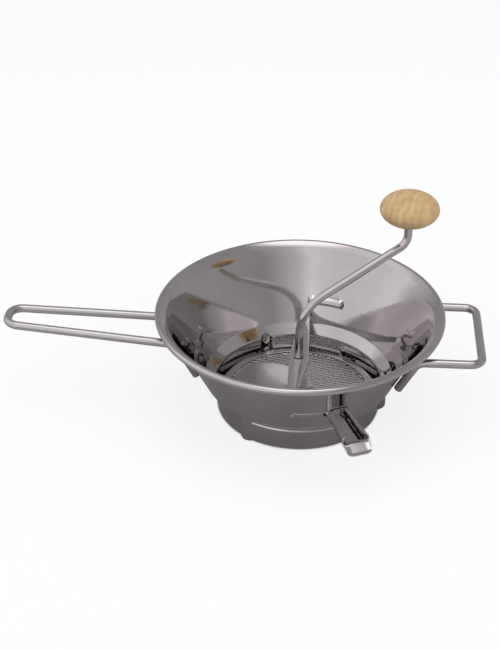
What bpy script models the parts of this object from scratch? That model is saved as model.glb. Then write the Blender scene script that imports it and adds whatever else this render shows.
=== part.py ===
"""Hand-cranked food mill: a conical bowl on a skirt with a locking sieve disc, and a sprung crank."""

import math

import bmesh
import bpy
from mathutils import Matrix, Vector

# Sheet, wire and running clearances
SHEET = 0.0010
WIRE_RADIUS = 0.0035
SEAT_GAP = 0.0003
RUN_GAP = 0.0004
CUT_OVERRUN = 0.004

# Bowl wall, from its foot up
SKIRT_RADIUS = 0.0692
SKIRT_HEIGHT = 0.0218
SKIRT_FLARE = 0.0027
WAIST_HEIGHT_SHARE = 0.48
WAIST_FLARE_SHARE = 0.15
LEDGE_WIDTH = 0.0079
LEDGE_HEIGHT = 0.0077
CONE_RUN = 0.0287
CONE_HEIGHT = 0.0550
LIP_RUN = 0.0043
LIP_HEIGHT = 0.0028
BEAD_RADIUS = 0.0030
BEAD_OVERHANG = 0.0042
BEAD_RISE = 0.0032
HEM_WIDTH = 0.0030
BOWL_STEPS = 90

# Bayonet keyways and tracks pressed out of the skirt
KEYWAY_COUNT = 3
KEYWAY_AZIMUTH = math.radians(116.0)
KEYWAY_RADIUS = 0.0062
KEYWAY_INSET = 0.0004
KEYWAY_FLOOR = 0.0014
KEYWAY_ROUND = 0.0022
TRACK_DEPTH = 0.0034
TRACK_SWEEP = math.radians(64.0)
TRACK_FLOOR = 0.0016
TRACK_EDGE = 0.0008

# Dents pressed into the wall, which hold the crossbar's ends down
REAR_DENT = (math.radians(65.5), math.radians(87.0))
FRONT_DENT = (math.radians(-92.5), math.radians(-71.0))
DENT_RADIUS = 0.0033
DENT_DEPTH = 0.0009

# Crossbar
BAR_TOP = 0.0454
BAR_CORNER_X = 0.0082
BAR_CORNER_Y = -0.0031
BAR_FLANGE = 0.0060
BAR_FOLD_END = 0.0760
BAR_TONGUE_OUTER = 0.0072
BAR_TONGUE_INNER = 0.0024
BAR_HOLE_GAP = 0.0008

# Pot hooks
HOOK_AZIMUTH = math.radians(67.6)
HOOK_FLOOR_Z = 0.0465
HOOK_ROOT_HALF_WIDTH = 0.0096
HOOK_HALF_WIDTH = 0.0108
HOOK_FLANGE = 0.0070
HOOK_FOLD = 0.0012
HOOK_CURL = 0.0048
HOOK_CURL_SWEEP = math.radians(95.0)
HOOK_LENGTH = 0.0385
HOOK_LIP = 0.0115
HOOK_LIP_HALF_WIDTH = 0.0104
HOOK_LIP_DROP = 0.0049
HOOK_LIP_RIM = 0.0026
HOOK_LIP_OVERLAP = 0.0026
HOOK_RIM_WIDTH = 0.0017
HOOK_CORNER = 0.0042
HOOK_TAB_HALF_WIDTH = 0.0078
HOOK_TAB_HEIGHT = 0.0085

# Wire handles
LONG_REACH = 0.2455
LONG_TIP_HALF_WIDTH = 0.0132
LONG_ROOT_HALF_WIDTH = 0.0209
LONG_ROOT_Z = 0.0667
LONG_TIP_Z = 0.0756
LONG_FOOT_Z = 0.0345
LONG_CORNER = 0.0110
SHORT_REACH = 0.1490
SHORT_HALF_WIDTH = 0.0438
SHORT_Z = 0.0729
SHORT_FOOT_Z = 0.0420
SHORT_CORNER = 0.0100
HANDLE_BEND = 0.0095

# Sieve disc
DISC_RING_TOP = 0.0105
DISC_FLANGE_WIDTH = 0.0066
EAR_HALF_WIDTH = 0.0040
EAR_THICKNESS = 0.0015
SIEVE_THICKNESS = 0.0010
HOLE_RADIUS = 0.0013
HOLE_PITCH = 0.0084
HOLE_MARGIN = 0.0022
DISC_STEPS = 60

# Eyelet at the middle of the disc, where the shaft's tip turns
TIP_RADIUS = 0.0025
EYELET_WALL = 0.0008
EYELET_FLANGE = 0.0030
TIP_END_Z = 0.0045

# Blade and its hub
HUB_WALL = 0.0027
HUB_HEIGHT = 0.0155
BLADE_THICKNESS = 0.0012
BLADE_RADIUS = 0.0580
BLADE_RISE = 0.0120
BLADE_TAIL = math.radians(30.0)
BLADE_HEEL = math.radians(135.0)
BLADE_LEAD = math.radians(290.0)
BLADE_TAIL_REACH = 0.0148
BLADE_SPIRAL_POWER = 1.9
BLADE_RISE_POWER = 1.25
PIN_RADIUS = 0.0012
PIN_AZIMUTH = math.radians(-50.0)

# Pressure spring and its washers
WASHER_THICKNESS = 0.0012
WASHER_WIDTH = 0.0026
SPRING_WIRE = 0.0007
SPRING_CLEARANCE = 0.0012
SPRING_TURNS = 5
SPRING_POINTS = 10

# Crank rod
CRANK_AZIMUTH = math.radians(25.0)
CRANK_SLOPE = math.radians(25.0)
CRANK_REACH = 0.0962
CRANK_CORNER_RISE = 0.0006
CRANK_LOWER_BEND = 0.0360
CRANK_UPPER_BEND = 0.0120

# Knob and what holds it on the rod
KNOB_RADIUS = 0.0247
KNOB_HALF_HEIGHT = 0.0139
KNOB_RISE = 0.0317
KNOB_FLAT_RADIUS = 0.0078
BUSH_WALL = 0.0016
BUSH_HEIGHT = 0.0135
BUSH_INSET = 0.0005
KNOB_WASHER_THICKNESS = 0.0010
HEAD_HEIGHT = 0.0016
HEAD_OVERHANG = 0.0013

# Facets
ARC_POINTS = 7
ROUND_STEPS = 24
TRACK_STEPS = 15
DENT_STEPS = 7
HOOK_CURL_STEPS = 4
HOOK_TAB_STEPS = 5
HOLE_SIDES = 6

# Places that follow from the sizes above
LEDGE_FOOT_RADIUS = SKIRT_RADIUS + SKIRT_FLARE
LEDGE_TOP_RADIUS = LEDGE_FOOT_RADIUS + LEDGE_WIDTH
LEDGE_TOP_Z = SKIRT_HEIGHT + LEDGE_HEIGHT
CONE_TOP_RADIUS = LEDGE_TOP_RADIUS + CONE_RUN
CONE_TOP_Z = LEDGE_TOP_Z + CONE_HEIGHT
BEAD_CENTRE_RADIUS = CONE_TOP_RADIUS + LIP_RUN + BEAD_OVERHANG
RIM_Z = CONE_TOP_Z + LIP_HEIGHT + BEAD_RISE
CONE_ANGLE = math.atan2(CONE_RUN, CONE_HEIGHT)
BOWL_AXIS_X = (LONG_REACH - SHORT_REACH) / 2

STEEL = ("polished_steel", (0.62, 0.60, 0.60), 0.16, 1.0)
SATIN = ("satin_steel", (0.56, 0.55, 0.54), 0.34, 1.0)
BEECH = ("beech", (0.62, 0.45, 0.25), 0.50, 0.0)


def clear_scene():
    """Remove every object that the scene holds."""
    for item in list(bpy.data.objects):
        bpy.data.objects.remove(item, do_unlink=True)


def material(finish):
    """Return the Principled material of a finish, making it once."""
    name, colour, roughness, metallic = finish
    found = bpy.data.materials.get(name)
    if found:
        return found
    made = bpy.data.materials.new(name)
    made.use_nodes = True
    shader = made.node_tree.nodes["Principled BSDF"]
    shader.inputs["Base Color"].default_value = (*colour, 1.0)
    shader.inputs["Roughness"].default_value = roughness
    shader.inputs["Metallic"].default_value = metallic
    return made


def collection(name):
    """Return a collection of the scene, making it once."""
    found = bpy.data.collections.get(name)
    if found is None:
        found = bpy.data.collections.new(name)
        bpy.context.scene.collection.children.link(found)
    return found


def add_object(name, data):
    """Link new object data into the mill's collection."""
    item = bpy.data.objects.new(name, data)
    collection("food_mill").objects.link(item)
    return item


def object_from_bmesh(name, bm):
    """Turn a bmesh into an object whose faces point out."""
    bmesh.ops.recalc_face_normals(bm, faces=bm.faces)
    mesh = bpy.data.meshes.new(name)
    bm.to_mesh(mesh)
    bm.free()
    return add_object(name, mesh)


def freeze(item):
    """Replace an object's mesh by what its modifiers make of it."""
    bpy.context.view_layer.update()
    graph = bpy.context.evaluated_depsgraph_get()
    mesh = bpy.data.meshes.new_from_object(item.evaluated_get(graph))
    old = item.data
    item.modifiers.clear()
    item.data = mesh
    bpy.data.meshes.remove(old)
    return item


def weld(item, distance):
    """Merge doubled points of a mesh and point its faces out."""
    bm = bmesh.new()
    bm.from_mesh(item.data)
    bmesh.ops.remove_doubles(bm, verts=bm.verts, dist=distance)
    bmesh.ops.recalc_face_normals(bm, faces=bm.faces)
    bm.to_mesh(item.data)
    bm.free()
    return item


def combine(target, other, operation):
    """Join, cut or intersect the target with another solid, which is used up."""
    boolean = target.modifiers.new(operation.lower(), "BOOLEAN")
    boolean.operation = operation
    boolean.solver = "EXACT"
    boolean.object = other
    freeze(target)
    bpy.data.objects.remove(other, do_unlink=True)
    return weld(target, SHEET / 500)


def finish(item, look, parent=None, crease=math.radians(32.0)):
    """Give a piece its material, its shading and the frame that carries it."""
    item.data.materials.clear()
    item.data.materials.append(material(look))
    item.data.shade_smooth()
    item.data.set_sharp_from_angle(angle=crease)
    item.parent = parent
    return item


def frame_empty(name, place, parent=None, turn=0.0):
    """Make an empty that marks an axis and carries the pieces on it."""
    empty = add_object(name, None)
    empty.location = place
    empty.rotation_euler = (0.0, 0.0, turn)
    empty.parent = parent
    empty.empty_display_type = "ARROWS"
    empty.empty_display_size = KNOB_RADIUS
    return empty


def turned(name, outline, steps, closed=True):
    """Turn an outline of (radius, height) points, outer side first, about the Z axis."""
    mesh = bpy.data.meshes.new(name)
    points = [(radius, 0.0, height) for radius, height in outline]
    edges = [(i, i + 1) for i in range(len(points) - 1)]
    if closed:
        edges.append((len(points) - 1, 0))
    mesh.from_pydata(points, edges, [])
    item = add_object(name, mesh)
    screw = item.modifiers.new("turn", "SCREW")
    screw.angle = math.tau
    screw.steps = steps
    screw.render_steps = steps
    screw.use_merge_vertices = True
    screw.merge_threshold = SHEET / 100
    freeze(item)
    return weld(item, SHEET / 100)


def prism(name, outline, low, high, plane="XY"):
    """Extrude an outline in the XY or the YZ plane from low to high along the third axis."""
    bm = bmesh.new()
    if plane == "XY":
        verts = [bm.verts.new((a, b, low)) for a, b in outline]
        step = Vector((0.0, 0.0, high - low))
    else:
        verts = [bm.verts.new((low, a, b)) for a, b in outline]
        step = Vector((high - low, 0.0, 0.0))
    face = bm.faces.new(verts)
    made = bmesh.ops.extrude_face_region(bm, geom=[face], use_keep_orig=True)
    moved = [part for part in made["geom"] if isinstance(part, bmesh.types.BMVert)]
    bmesh.ops.translate(bm, verts=moved, vec=step)
    return object_from_bmesh(name, bm)


def swept_section(name, section, start, sweep, steps):
    """Sweep a (radius, height) section about the Z axis, from start through the sweep angle."""
    bm = bmesh.new()
    turn = Matrix.Rotation(start, 3, "Z")
    verts = [bm.verts.new(turn @ Vector((radius, 0.0, height))) for radius, height in section]
    face = bm.faces.new(verts)
    geometry = [face, *face.edges, *face.verts]
    spun = bmesh.ops.spin(bm, geom=geometry, cent=(0, 0, 0), axis=(0, 0, 1), angle=sweep, steps=steps)
    if not any(part == face for part in bm.faces):
        bm.faces.new(verts)
    del spun
    bmesh.ops.remove_doubles(bm, verts=bm.verts, dist=SHEET / 100)
    return object_from_bmesh(name, bm)


def cylinder(name, radius, low, high, sides, centre=(0.0, 0.0)):
    """Make an upright cylinder between two heights."""
    bm = bmesh.new()
    middle = Matrix.Translation((centre[0], centre[1], (low + high) / 2))
    bmesh.ops.create_cone(bm, cap_ends=True, segments=sides, radius1=radius, radius2=radius,
                          depth=high - low, matrix=middle)
    return object_from_bmesh(name, bm)


def round_edges(item, chooser, width, segments):
    """Bevel the edges of a mesh that the chooser picks."""
    bm = bmesh.new()
    bm.from_mesh(item.data)
    edges = [edge for edge in bm.edges if chooser(edge)]
    bmesh.ops.bevel(bm, geom=edges, offset=width, offset_type="OFFSET", segments=segments,
                    profile=0.5, affect="EDGES", clamp_overlap=True, material=-1)
    bm.to_mesh(item.data)
    bm.free()
    return item


def arc_between(corner, before, after, radius, count):
    """Return the points of a fillet of a given radius at the corner of two straight runs."""
    back = (before - corner).normalized()
    ahead = (after - corner).normalized()
    half = back.angle(ahead) / 2
    reach = radius / math.tan(half)
    centre = corner + (back + ahead).normalized() * (radius / math.sin(half))
    first = corner + back * reach - centre
    last = corner + ahead * reach - centre
    normal = first.cross(last).normalized()
    sweep = first.angle(last)
    turns = [Matrix.Rotation(sweep * i / (count - 1), 3, normal) for i in range(count)]
    return [centre + turn @ first for turn in turns]


def rounded_path(corners, radii):
    """Return a path through the corners with a fillet at each one between the ends."""
    path = [corners[0]]
    for i, radius in enumerate(radii, start=1):
        path += arc_between(corners[i], corners[i - 1], corners[i + 1], radius, ARC_POINTS)
    path.append(corners[-1])
    return path


def wire(name, path, radius, swell=None, resolution=2):
    """Make a closed tube along a path; swell scales its radius point by point."""
    curve = bpy.data.curves.new(name, "CURVE")
    curve.dimensions = "3D"
    curve.bevel_depth = radius
    curve.bevel_resolution = resolution
    curve.use_fill_caps = True
    spline = curve.splines.new("POLY")
    spline.points.add(len(path) - 1)
    for i, place in enumerate(path):
        spline.points[i].co = (*place, 1.0)
        spline.points[i].radius = swell[i] if swell else 1.0
    guide = add_object(name + "_path", curve)
    bpy.context.view_layer.update()
    graph = bpy.context.evaluated_depsgraph_get()
    mesh = bpy.data.meshes.new_from_object(guide.evaluated_get(graph))
    bpy.data.objects.remove(guide, do_unlink=True)
    bpy.data.curves.remove(curve)
    mesh.name = name
    return weld(add_object(name, mesh), SHEET / 100)


def outer_wall():
    """Return the bowl's outer wall as (radius, height) points, from its foot to its lip."""
    waist = (SKIRT_RADIUS + SKIRT_FLARE * WAIST_FLARE_SHARE, SKIRT_HEIGHT * WAIST_HEIGHT_SHARE)
    return [
        (SKIRT_RADIUS, 0.0),
        waist,
        (LEDGE_FOOT_RADIUS, SKIRT_HEIGHT),
        (LEDGE_TOP_RADIUS, LEDGE_TOP_Z),
        (CONE_TOP_RADIUS, CONE_TOP_Z),
        (CONE_TOP_RADIUS + LIP_RUN, CONE_TOP_Z + LIP_HEIGHT),
    ]


def inset_line(points, distance):
    """Move a line of (radius, height) points towards the axis by a distance square to it."""
    moved = []
    for i, point in enumerate(points):
        here = Vector(point)
        before = (here - Vector(points[i - 1])).normalized() if i > 0 else None
        after = (Vector(points[i + 1]) - here).normalized() if i < len(points) - 1 else None
        runs = [run for run in (before, after) if run is not None]
        normals = [Vector((-run.y, run.x)) for run in runs]
        normal = sum(normals, Vector((0.0, 0.0))).normalized()
        moved.append(here + normal * (distance / normal.dot(normals[0])))
    return [(point.x, point.y) for point in moved]


def radius_on(line, height):
    """Return the radius of a line of (radius, height) points at a height."""
    for (low_r, low_z), (high_r, high_z) in zip(line[:-1], line[1:]):
        if low_z <= height <= high_z:
            return low_r + (high_r - low_r) * (height - low_z) / (high_z - low_z)
    return line[-1][0]


def off_cone(height, distance):
    """Return (radius, height) at a distance outside the cone, square to its wall."""
    radius = radius_on(outer_wall(), height)
    return radius + distance * math.cos(CONE_ANGLE), height - distance * math.sin(CONE_ANGLE)


def bowl_shell():
    """Turn the bowl's wall with its rolled rim and its hemmed foot."""
    outer = outer_wall()
    inner = inset_line(outer, SHEET)
    bead = []
    first, last, count = math.radians(160.0), math.radians(-135.0), 8
    for i in range(count):
        angle = first + (last - first) * i / (count - 1)
        bead.append((BEAD_CENTRE_RADIUS + BEAD_RADIUS * math.cos(angle),
                     RIM_Z + BEAD_RADIUS * math.sin(angle)))
    hem_radius = SKIRT_RADIUS - HEM_WIDTH
    foot = [(hem_radius, 0.0), (hem_radius, SHEET), (radius_on(inner, SHEET), SHEET)]
    outline = bead + outer[::-1] + foot + inner[1:]
    return turned("bowl", outline, BOWL_STEPS)


def keyway(name, wall, azimuth):
    """Make the upright round body of one keyway, less the wall that it is offset by."""
    radius = KEYWAY_RADIUS - wall
    reach = SKIRT_RADIUS - KEYWAY_INSET
    centre = (reach * math.cos(azimuth), reach * math.sin(azimuth))
    floor = KEYWAY_FLOOR + wall
    post = cylinder(name, radius, floor, LEDGE_TOP_Z, ROUND_STEPS, centre)
    if wall == 0.0:
        round_edges(post, lambda edge: all(v.co.z < floor + SEAT_GAP for v in edge.verts), KEYWAY_ROUND, 2)
    return post


def track(name, wall, azimuth):
    """Make the swept body of one bayonet track, less the wall that it is offset by."""
    outside = SKIRT_RADIUS + TRACK_DEPTH - wall
    inside = SKIRT_RADIUS - HEM_WIDTH
    low = TRACK_FLOOR + wall
    high = SKIRT_HEIGHT + SHEET / 2 - wall
    section = [(inside, low), (outside - TRACK_EDGE, low), (outside, low + TRACK_EDGE),
               (outside, high - TRACK_EDGE), (outside - TRACK_EDGE, high), (inside, high)]
    end_gap = wall / outside
    return swept_section(name, section, azimuth, TRACK_SWEEP - end_gap, TRACK_STEPS)


def press_bayonet(bowl):
    """Press the keyways and tracks out of the bowl's skirt."""
    middle = inset_line(outer_wall(), SHEET / 2)
    core_top = LEDGE_TOP_Z
    core = [(0.0, core_top), (radius_on(middle, core_top), core_top)]
    core += [point for point in middle[::-1] if point[1] < core_top]
    core += [(middle[0][0], -CUT_OVERRUN), (0.0, -CUT_OVERRUN)]
    azimuths = [KEYWAY_AZIMUTH + math.tau * i / KEYWAY_COUNT for i in range(KEYWAY_COUNT)]
    for azimuth in azimuths:
        relief = keyway("keyway_relief", 0.0, azimuth)
        combine(relief, track("track_relief", 0.0, azimuth), "UNION")
        combine(relief, turned("skirt_core", core, BOWL_STEPS, closed=False), "DIFFERENCE")
        combine(bowl, relief, "UNION")
    for azimuth in azimuths:
        combine(bowl, keyway("keyway_cut", SHEET, azimuth), "DIFFERENCE")
        combine(bowl, track("track_cut", SHEET, azimuth), "DIFFERENCE")
    return bowl


def dent_section(offset, outside):
    """Return the (radius, height) section of a dent, grown by an offset."""
    inner = inset_line(outer_wall(), SHEET)
    centre_z = BAR_TOP + SEAT_GAP + DENT_RADIUS
    radius = DENT_RADIUS + offset
    nose = radius_on(inner, centre_z) - DENT_DEPTH
    section = []
    for i in range(5):
        angle = math.radians(90.0 + 45.0 * i)
        section.append((nose + radius * math.cos(angle), centre_z + radius * math.sin(angle)))
    low = radius_on(inner, centre_z - radius) + outside
    high = radius_on(inner, centre_z + radius) + outside
    return section + [(low, centre_z - radius), (high, centre_z + radius)]


def press_dents(bowl):
    """Press the pair of dents into the wall over the crossbar's ends."""
    trim = SHEET / CONE_TOP_RADIUS
    for start, end in (REAR_DENT, FRONT_DENT):
        sweep = end - start
        boss = swept_section("dent_boss", dent_section(0.0, SHEET / 2), start, sweep, DENT_STEPS)
        combine(bowl, boss, "UNION")
        hollow = swept_section("dent_cut", dent_section(-SHEET, CUT_OVERRUN), start + trim,
                               sweep - 2 * trim, DENT_STEPS)
        combine(bowl, hollow, "DIFFERENCE")
    return bowl


def make_bowl(parent):
    """Make the bowl: one pressed shell with its bayonet skirt and its dents."""
    bowl = press_dents(press_bayonet(bowl_shell()))
    return finish(bowl, STEEL, parent)


def handle_corner(height, half_width):
    """Return the place where a leg at a height turns down the cone, as (x, y, z) and its azimuth."""
    radius, _ = off_cone_at(height)
    azimuth = math.asin(half_width / radius)
    return Vector((radius * math.cos(azimuth), half_width, height)), azimuth


def off_cone_at(height):
    """Return the wire's (radius, height) outside the cone at the wire's own height."""
    distance = WIRE_RADIUS + SEAT_GAP
    wall_height = height + distance * math.sin(CONE_ANGLE)
    return off_cone(wall_height, distance)


def handle_foot(height, azimuth):
    """Return the lower end of a leg that runs down the cone at an azimuth."""
    radius, foot_z = off_cone_at(height)
    return Vector((radius * math.cos(azimuth), radius * math.sin(azimuth), foot_z))


def handle_loop(name, root_z, root_half, tip, tip_half, tip_z, foot_z, corner, side):
    """Bend one wire handle: up the cone, out to its loop and back, on the side +1 or -1 of X."""
    turn_in, azimuth = handle_corner(root_z, root_half)
    foot = handle_foot(foot_z, azimuth)
    half = [foot, turn_in, Vector((tip, tip_half, tip_z))]
    other = [Vector((place.x, -place.y, place.z)) for place in half[::-1]]
    corners = [Vector((side * place.x, place.y, place.z)) for place in half + other]
    path = rounded_path(corners, [HANDLE_BEND, corner, corner, HANDLE_BEND])
    return wire(name, path, WIRE_RADIUS)


def make_handles(parent):
    """Make the long and the short wire handle."""
    long_handle = handle_loop("long_handle", LONG_ROOT_Z, LONG_ROOT_HALF_WIDTH, LONG_REACH,
                              LONG_TIP_HALF_WIDTH, LONG_TIP_Z, LONG_FOOT_Z, LONG_CORNER, -1)
    short_handle = handle_loop("short_handle", SHORT_Z, SHORT_HALF_WIDTH, SHORT_REACH,
                               SHORT_HALF_WIDTH, SHORT_Z, SHORT_FOOT_Z, SHORT_CORNER, 1)
    return [finish(long_handle, SATIN, parent), finish(short_handle, STEEL, parent)]


def hook_section(inset):
    """Return one half of the channel's (width, height) section, from its middle to its curled edge."""
    half, tall, curl = HOOK_HALF_WIDTH - inset, HOOK_FLANGE - inset, HOOK_CURL - inset
    line = [(0.0, inset), (half - HOOK_FOLD + inset, inset), (half, HOOK_FOLD)]
    for i in range(HOOK_CURL_STEPS + 1):
        angle = HOOK_CURL_SWEEP * i / HOOK_CURL_STEPS
        line.append((half - curl + curl * math.cos(angle), tall - curl + curl * math.sin(angle)))
    return line


def hook_channel(name, start, end):
    """Make the folded channel, with its sides curled in, which widens between two reaches."""
    outer, inner = hook_section(0.0), hook_section(SHEET)
    half = outer + inner[::-1]
    right = [(width, HOOK_FLOOR_Z + height) for width, height in half[1:-1]]
    left = [(-width, height) for width, height in right[::-1]]
    channel = prism(name, right + left, start, end, "YZ")
    taper = HOOK_ROOT_HALF_WIDTH / HOOK_HALF_WIDTH
    for vert in channel.data.vertices:
        vert.co.y *= taper + (1.0 - taper) * (vert.co.x - start) / (end - start)
    return channel


def hook_lip(name, start, end):
    """Make the lip: a tray with a raised rim and round corners, sloped down past the bend."""
    half, corner = HOOK_LIP_HALF_WIDTH, HOOK_CORNER
    turns = [math.radians(90.0) * i / 3 for i in range(4)]
    side = [(end - corner + corner * math.sin(turn), half - corner + corner * math.cos(turn)) for turn in turns]
    plan = [(start, -half)] + [(x, -y) for x, y in side] + side[::-1] + [(start, half)]
    floor = HOOK_FLOOR_Z
    tray = prism(name, plan, floor, floor + HOOK_LIP_RIM)
    edge = HOOK_RIM_WIDTH
    pocket = [(start - edge, edge - half), *inset_outline(plan, edge)[1:-1], (start - edge, half - edge)]
    combine(tray, prism("lip_pocket", pocket, floor + SHEET, floor + HOOK_LIP_RIM + edge), "DIFFERENCE")
    bend = start + HOOK_LIP_OVERLAP
    for vert in tray.data.vertices:
        vert.co.z -= HOOK_LIP_DROP * max(0.0, vert.co.x - bend) / (end - bend)
    return tray


def hook_tab(name):
    """Make the tab that stands up from the channel's root against the cone."""
    foot = radius_on(outer_wall(), HOOK_FLOOR_Z)
    near, far = SEAT_GAP / math.cos(CONE_ANGLE), (SEAT_GAP + SHEET) / math.cos(CONE_ANGLE)
    rise = HOOK_TAB_HEIGHT * math.tan(CONE_ANGLE)
    top = HOOK_FLOOR_Z + HOOK_TAB_HEIGHT
    section = [(foot + near, HOOK_FLOOR_Z), (foot + far, HOOK_FLOOR_Z), (foot + far + rise, top),
               (foot + near + rise, top)]
    sweep = 2 * HOOK_TAB_HALF_WIDTH / foot
    return swept_section(name, section, -sweep / 2, sweep, HOOK_TAB_STEPS)


def cone_body(name):
    """Make a solid cone that fills the bowl's wall and its gap, to trim the hooks' roots."""
    line = inset_line(outer_wall(), -SEAT_GAP)
    low, high = LEDGE_TOP_Z, CONE_TOP_Z
    return turned(name, [(0.0, high), (radius_on(line, high), high), (radius_on(line, low), low),
                         (0.0, low)], BOWL_STEPS, closed=False)


def make_hook(name, side, parent):
    """Make one pot hook: tab, folded channel and dropped lip, on one side of the bowl."""
    root = radius_on(outer_wall(), HOOK_FLOOR_Z)
    bend = root + HOOK_LENGTH
    hook = hook_channel(name, root - HOOK_CURL, bend)
    combine(hook, cone_body("root_trim"), "DIFFERENCE")
    combine(hook, hook_tab("hook_tab"), "UNION")
    combine(hook, hook_lip("hook_lip", bend - HOOK_LIP_OVERLAP, bend + HOOK_LIP), "UNION")
    hook.data.transform(Matrix.Rotation(side * HOOK_AZIMUTH, 4, "Z"))
    return finish(hook, STEEL, parent)


def wall_gauge(name):
    """Make the round body that the crossbar's ends are cut to, just inside the cone."""
    line = inset_line(outer_wall(), SHEET + SEAT_GAP)
    low, high = LEDGE_TOP_Z, BAR_TOP + CUT_OVERRUN
    return turned(name, [(0.0, high), (radius_on(line, high), high), (radius_on(line, low), low),
                         (0.0, low)], BOWL_STEPS, closed=False)


def inset_outline(points, distance):
    """Move every side of a closed outline, counter-clockwise, inwards by a distance."""
    moved = []
    for i, point in enumerate(points):
        here = Vector(point)
        before = (here - Vector(points[i - 1])).normalized()
        after = (Vector(points[(i + 1) % len(points)]) - here).normalized()
        first, second = Vector((-before.y, before.x)), Vector((-after.y, after.x))
        normal = (first + second).normalized()
        moved.append(here + normal * (distance / normal.dot(first)))
    return [(point.x, point.y) for point in moved]


def bar_outline(reach):
    """Return the crossbar's plan: two halves alike by a half turn, each tapering to a tongue."""
    half = [(BAR_CORNER_X, BAR_CORNER_Y), (BAR_TONGUE_OUTER, BAR_FOLD_END), (BAR_TONGUE_OUTER, reach),
            (BAR_TONGUE_INNER, reach), (BAR_TONGUE_INNER, BAR_FOLD_END)]
    return half + [(-x, -y) for x, y in half]


def make_crossbar(parent):
    """Make the crossbar: sheet with folded long edges, its ends cut to the cone."""
    reach = radius_on(outer_wall(), BAR_TOP) + CUT_OVERRUN
    outline = bar_outline(reach)
    low, under = BAR_TOP - BAR_FLANGE, BAR_TOP - SHEET
    bar = prism("crossbar", outline, low, BAR_TOP)
    channel = prism("bar_channel", inset_outline(outline, SHEET), low - CUT_OVERRUN, under)
    combine(bar, channel, "DIFFERENCE")
    wide = BAR_CORNER_X + CUT_OVERRUN
    for side in (-1, 1):
        ends = sorted((side * BAR_FOLD_END, side * (reach + CUT_OVERRUN)))
        corners = [(-wide, ends[0]), (wide, ends[0]), (wide, ends[1]), (-wide, ends[1])]
        combine(bar, prism("tongue_relief", corners, low - CUT_OVERRUN, under), "DIFFERENCE")
    combine(bar, wall_gauge("bar_gauge"), "INTERSECT")
    hole = cylinder("bar_hole", WIRE_RADIUS + BAR_HOLE_GAP, low, BAR_TOP + CUT_OVERRUN, ROUND_STEPS)
    combine(bar, hole, "DIFFERENCE")
    return finish(bar, STEEL, parent)


def disc_outer_radius():
    """Return the disc ring's outer radius, which turns inside the skirt."""
    return SKIRT_RADIUS - SHEET - RUN_GAP


def make_disc_ring(parent):
    """Turn the disc's ring with its folded rim, and add the three bayonet ears."""
    outer = disc_outer_radius()
    foot = SHEET + SEAT_GAP
    top = DISC_RING_TOP
    bore = outer - DISC_FLANGE_WIDTH
    outline = [(outer - SHEET / 2, top), (outer, top - SHEET / 2), (outer, foot), (outer - SHEET, foot),
               (outer - SHEET, top - SHEET), (bore, top - SHEET), (bore, top)]
    ring = turned("disc_ring", outline, DISC_STEPS)
    ear_low = TRACK_FLOOR + SHEET + TRACK_EDGE + RUN_GAP
    ear_end = SKIRT_RADIUS + TRACK_DEPTH - SHEET - RUN_GAP
    last = TRACK_SWEEP - (SHEET + SEAT_GAP + EAR_HALF_WIDTH) / ear_end
    for i in range(KEYWAY_COUNT):
        azimuth = KEYWAY_AZIMUTH + math.tau * i / KEYWAY_COUNT + last
        half = EAR_HALF_WIDTH
        root = outer - SHEET / 2
        ear = prism("disc_ear", [(root, -half), (ear_end - TRACK_EDGE, -half), (ear_end, -half / 2),
                                 (ear_end, half / 2), (ear_end - TRACK_EDGE, half), (root, half)],
                    ear_low, ear_low + EAR_THICKNESS)
        ear.data.transform(Matrix.Rotation(azimuth, 4, "Z"))
        combine(ring, ear, "UNION")
    return finish(ring, STEEL, parent)


def sieve_top():
    """Return the height of the perforated plate's upper face."""
    return DISC_RING_TOP - SHEET - SEAT_GAP


def hole_places(limit, clear):
    """Return the triangular lattice of hole centres between two radii."""
    rows = int(limit / (HOLE_PITCH * math.sin(math.radians(60.0)))) + 1
    columns = int(limit / HOLE_PITCH) + 1
    places = []
    for row in range(-rows, rows + 1):
        for column in range(-columns, columns + 1):
            x = (column + 0.5 * (row % 2)) * HOLE_PITCH
            y = row * HOLE_PITCH * math.sin(math.radians(60.0))
            if clear <= math.hypot(x, y) <= limit:
                places.append((x, y))
    return places


def make_sieve_plate(parent):
    """Turn the flat plate under the ring and cut its holes."""
    radius = disc_outer_radius() - SHEET - SEAT_GAP
    top = sieve_top()
    low = top - SIEVE_THICKNESS
    bore = TIP_RADIUS + SEAT_GAP + EYELET_WALL + SEAT_GAP
    plate = turned("sieve_plate", [(radius, top), (radius, low), (bore, low), (bore, top)], DISC_STEPS)
    limit = disc_outer_radius() - DISC_FLANGE_WIDTH - HOLE_MARGIN
    clear = bore + EYELET_FLANGE + HOLE_MARGIN
    bm = bmesh.new()
    for x, y in hole_places(limit, clear):
        middle = Matrix.Translation((x, y, (top + low) / 2))
        bmesh.ops.create_cone(bm, cap_ends=True, segments=HOLE_SIDES, radius1=HOLE_RADIUS,
                              radius2=HOLE_RADIUS, depth=SIEVE_THICKNESS * 2, matrix=middle)
    combine(plate, object_from_bmesh("sieve_holes", bm), "DIFFERENCE")
    return finish(plate, STEEL, parent)


def make_eyelet(parent):
    """Turn the eyelet that lines the plate's middle."""
    bore = TIP_RADIUS + SEAT_GAP
    tube = bore + EYELET_WALL
    top = sieve_top()
    seat = top - SIEVE_THICKNESS - SEAT_GAP
    low = seat - EYELET_WALL
    outline = [(tube, top), (tube, seat), (tube + EYELET_FLANGE, seat), (tube + EYELET_FLANGE, low),
               (bore, low), (bore, top)]
    return finish(turned("disc_eyelet", outline, ROUND_STEPS), STEEL, parent)


def hub_radius():
    """Return the blade hub's outer radius."""
    return WIRE_RADIUS + SEAT_GAP + HUB_WALL


def hub_low():
    """Return the height of the hub's lower face, just over the plate."""
    return sieve_top() + SEAT_GAP


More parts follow.
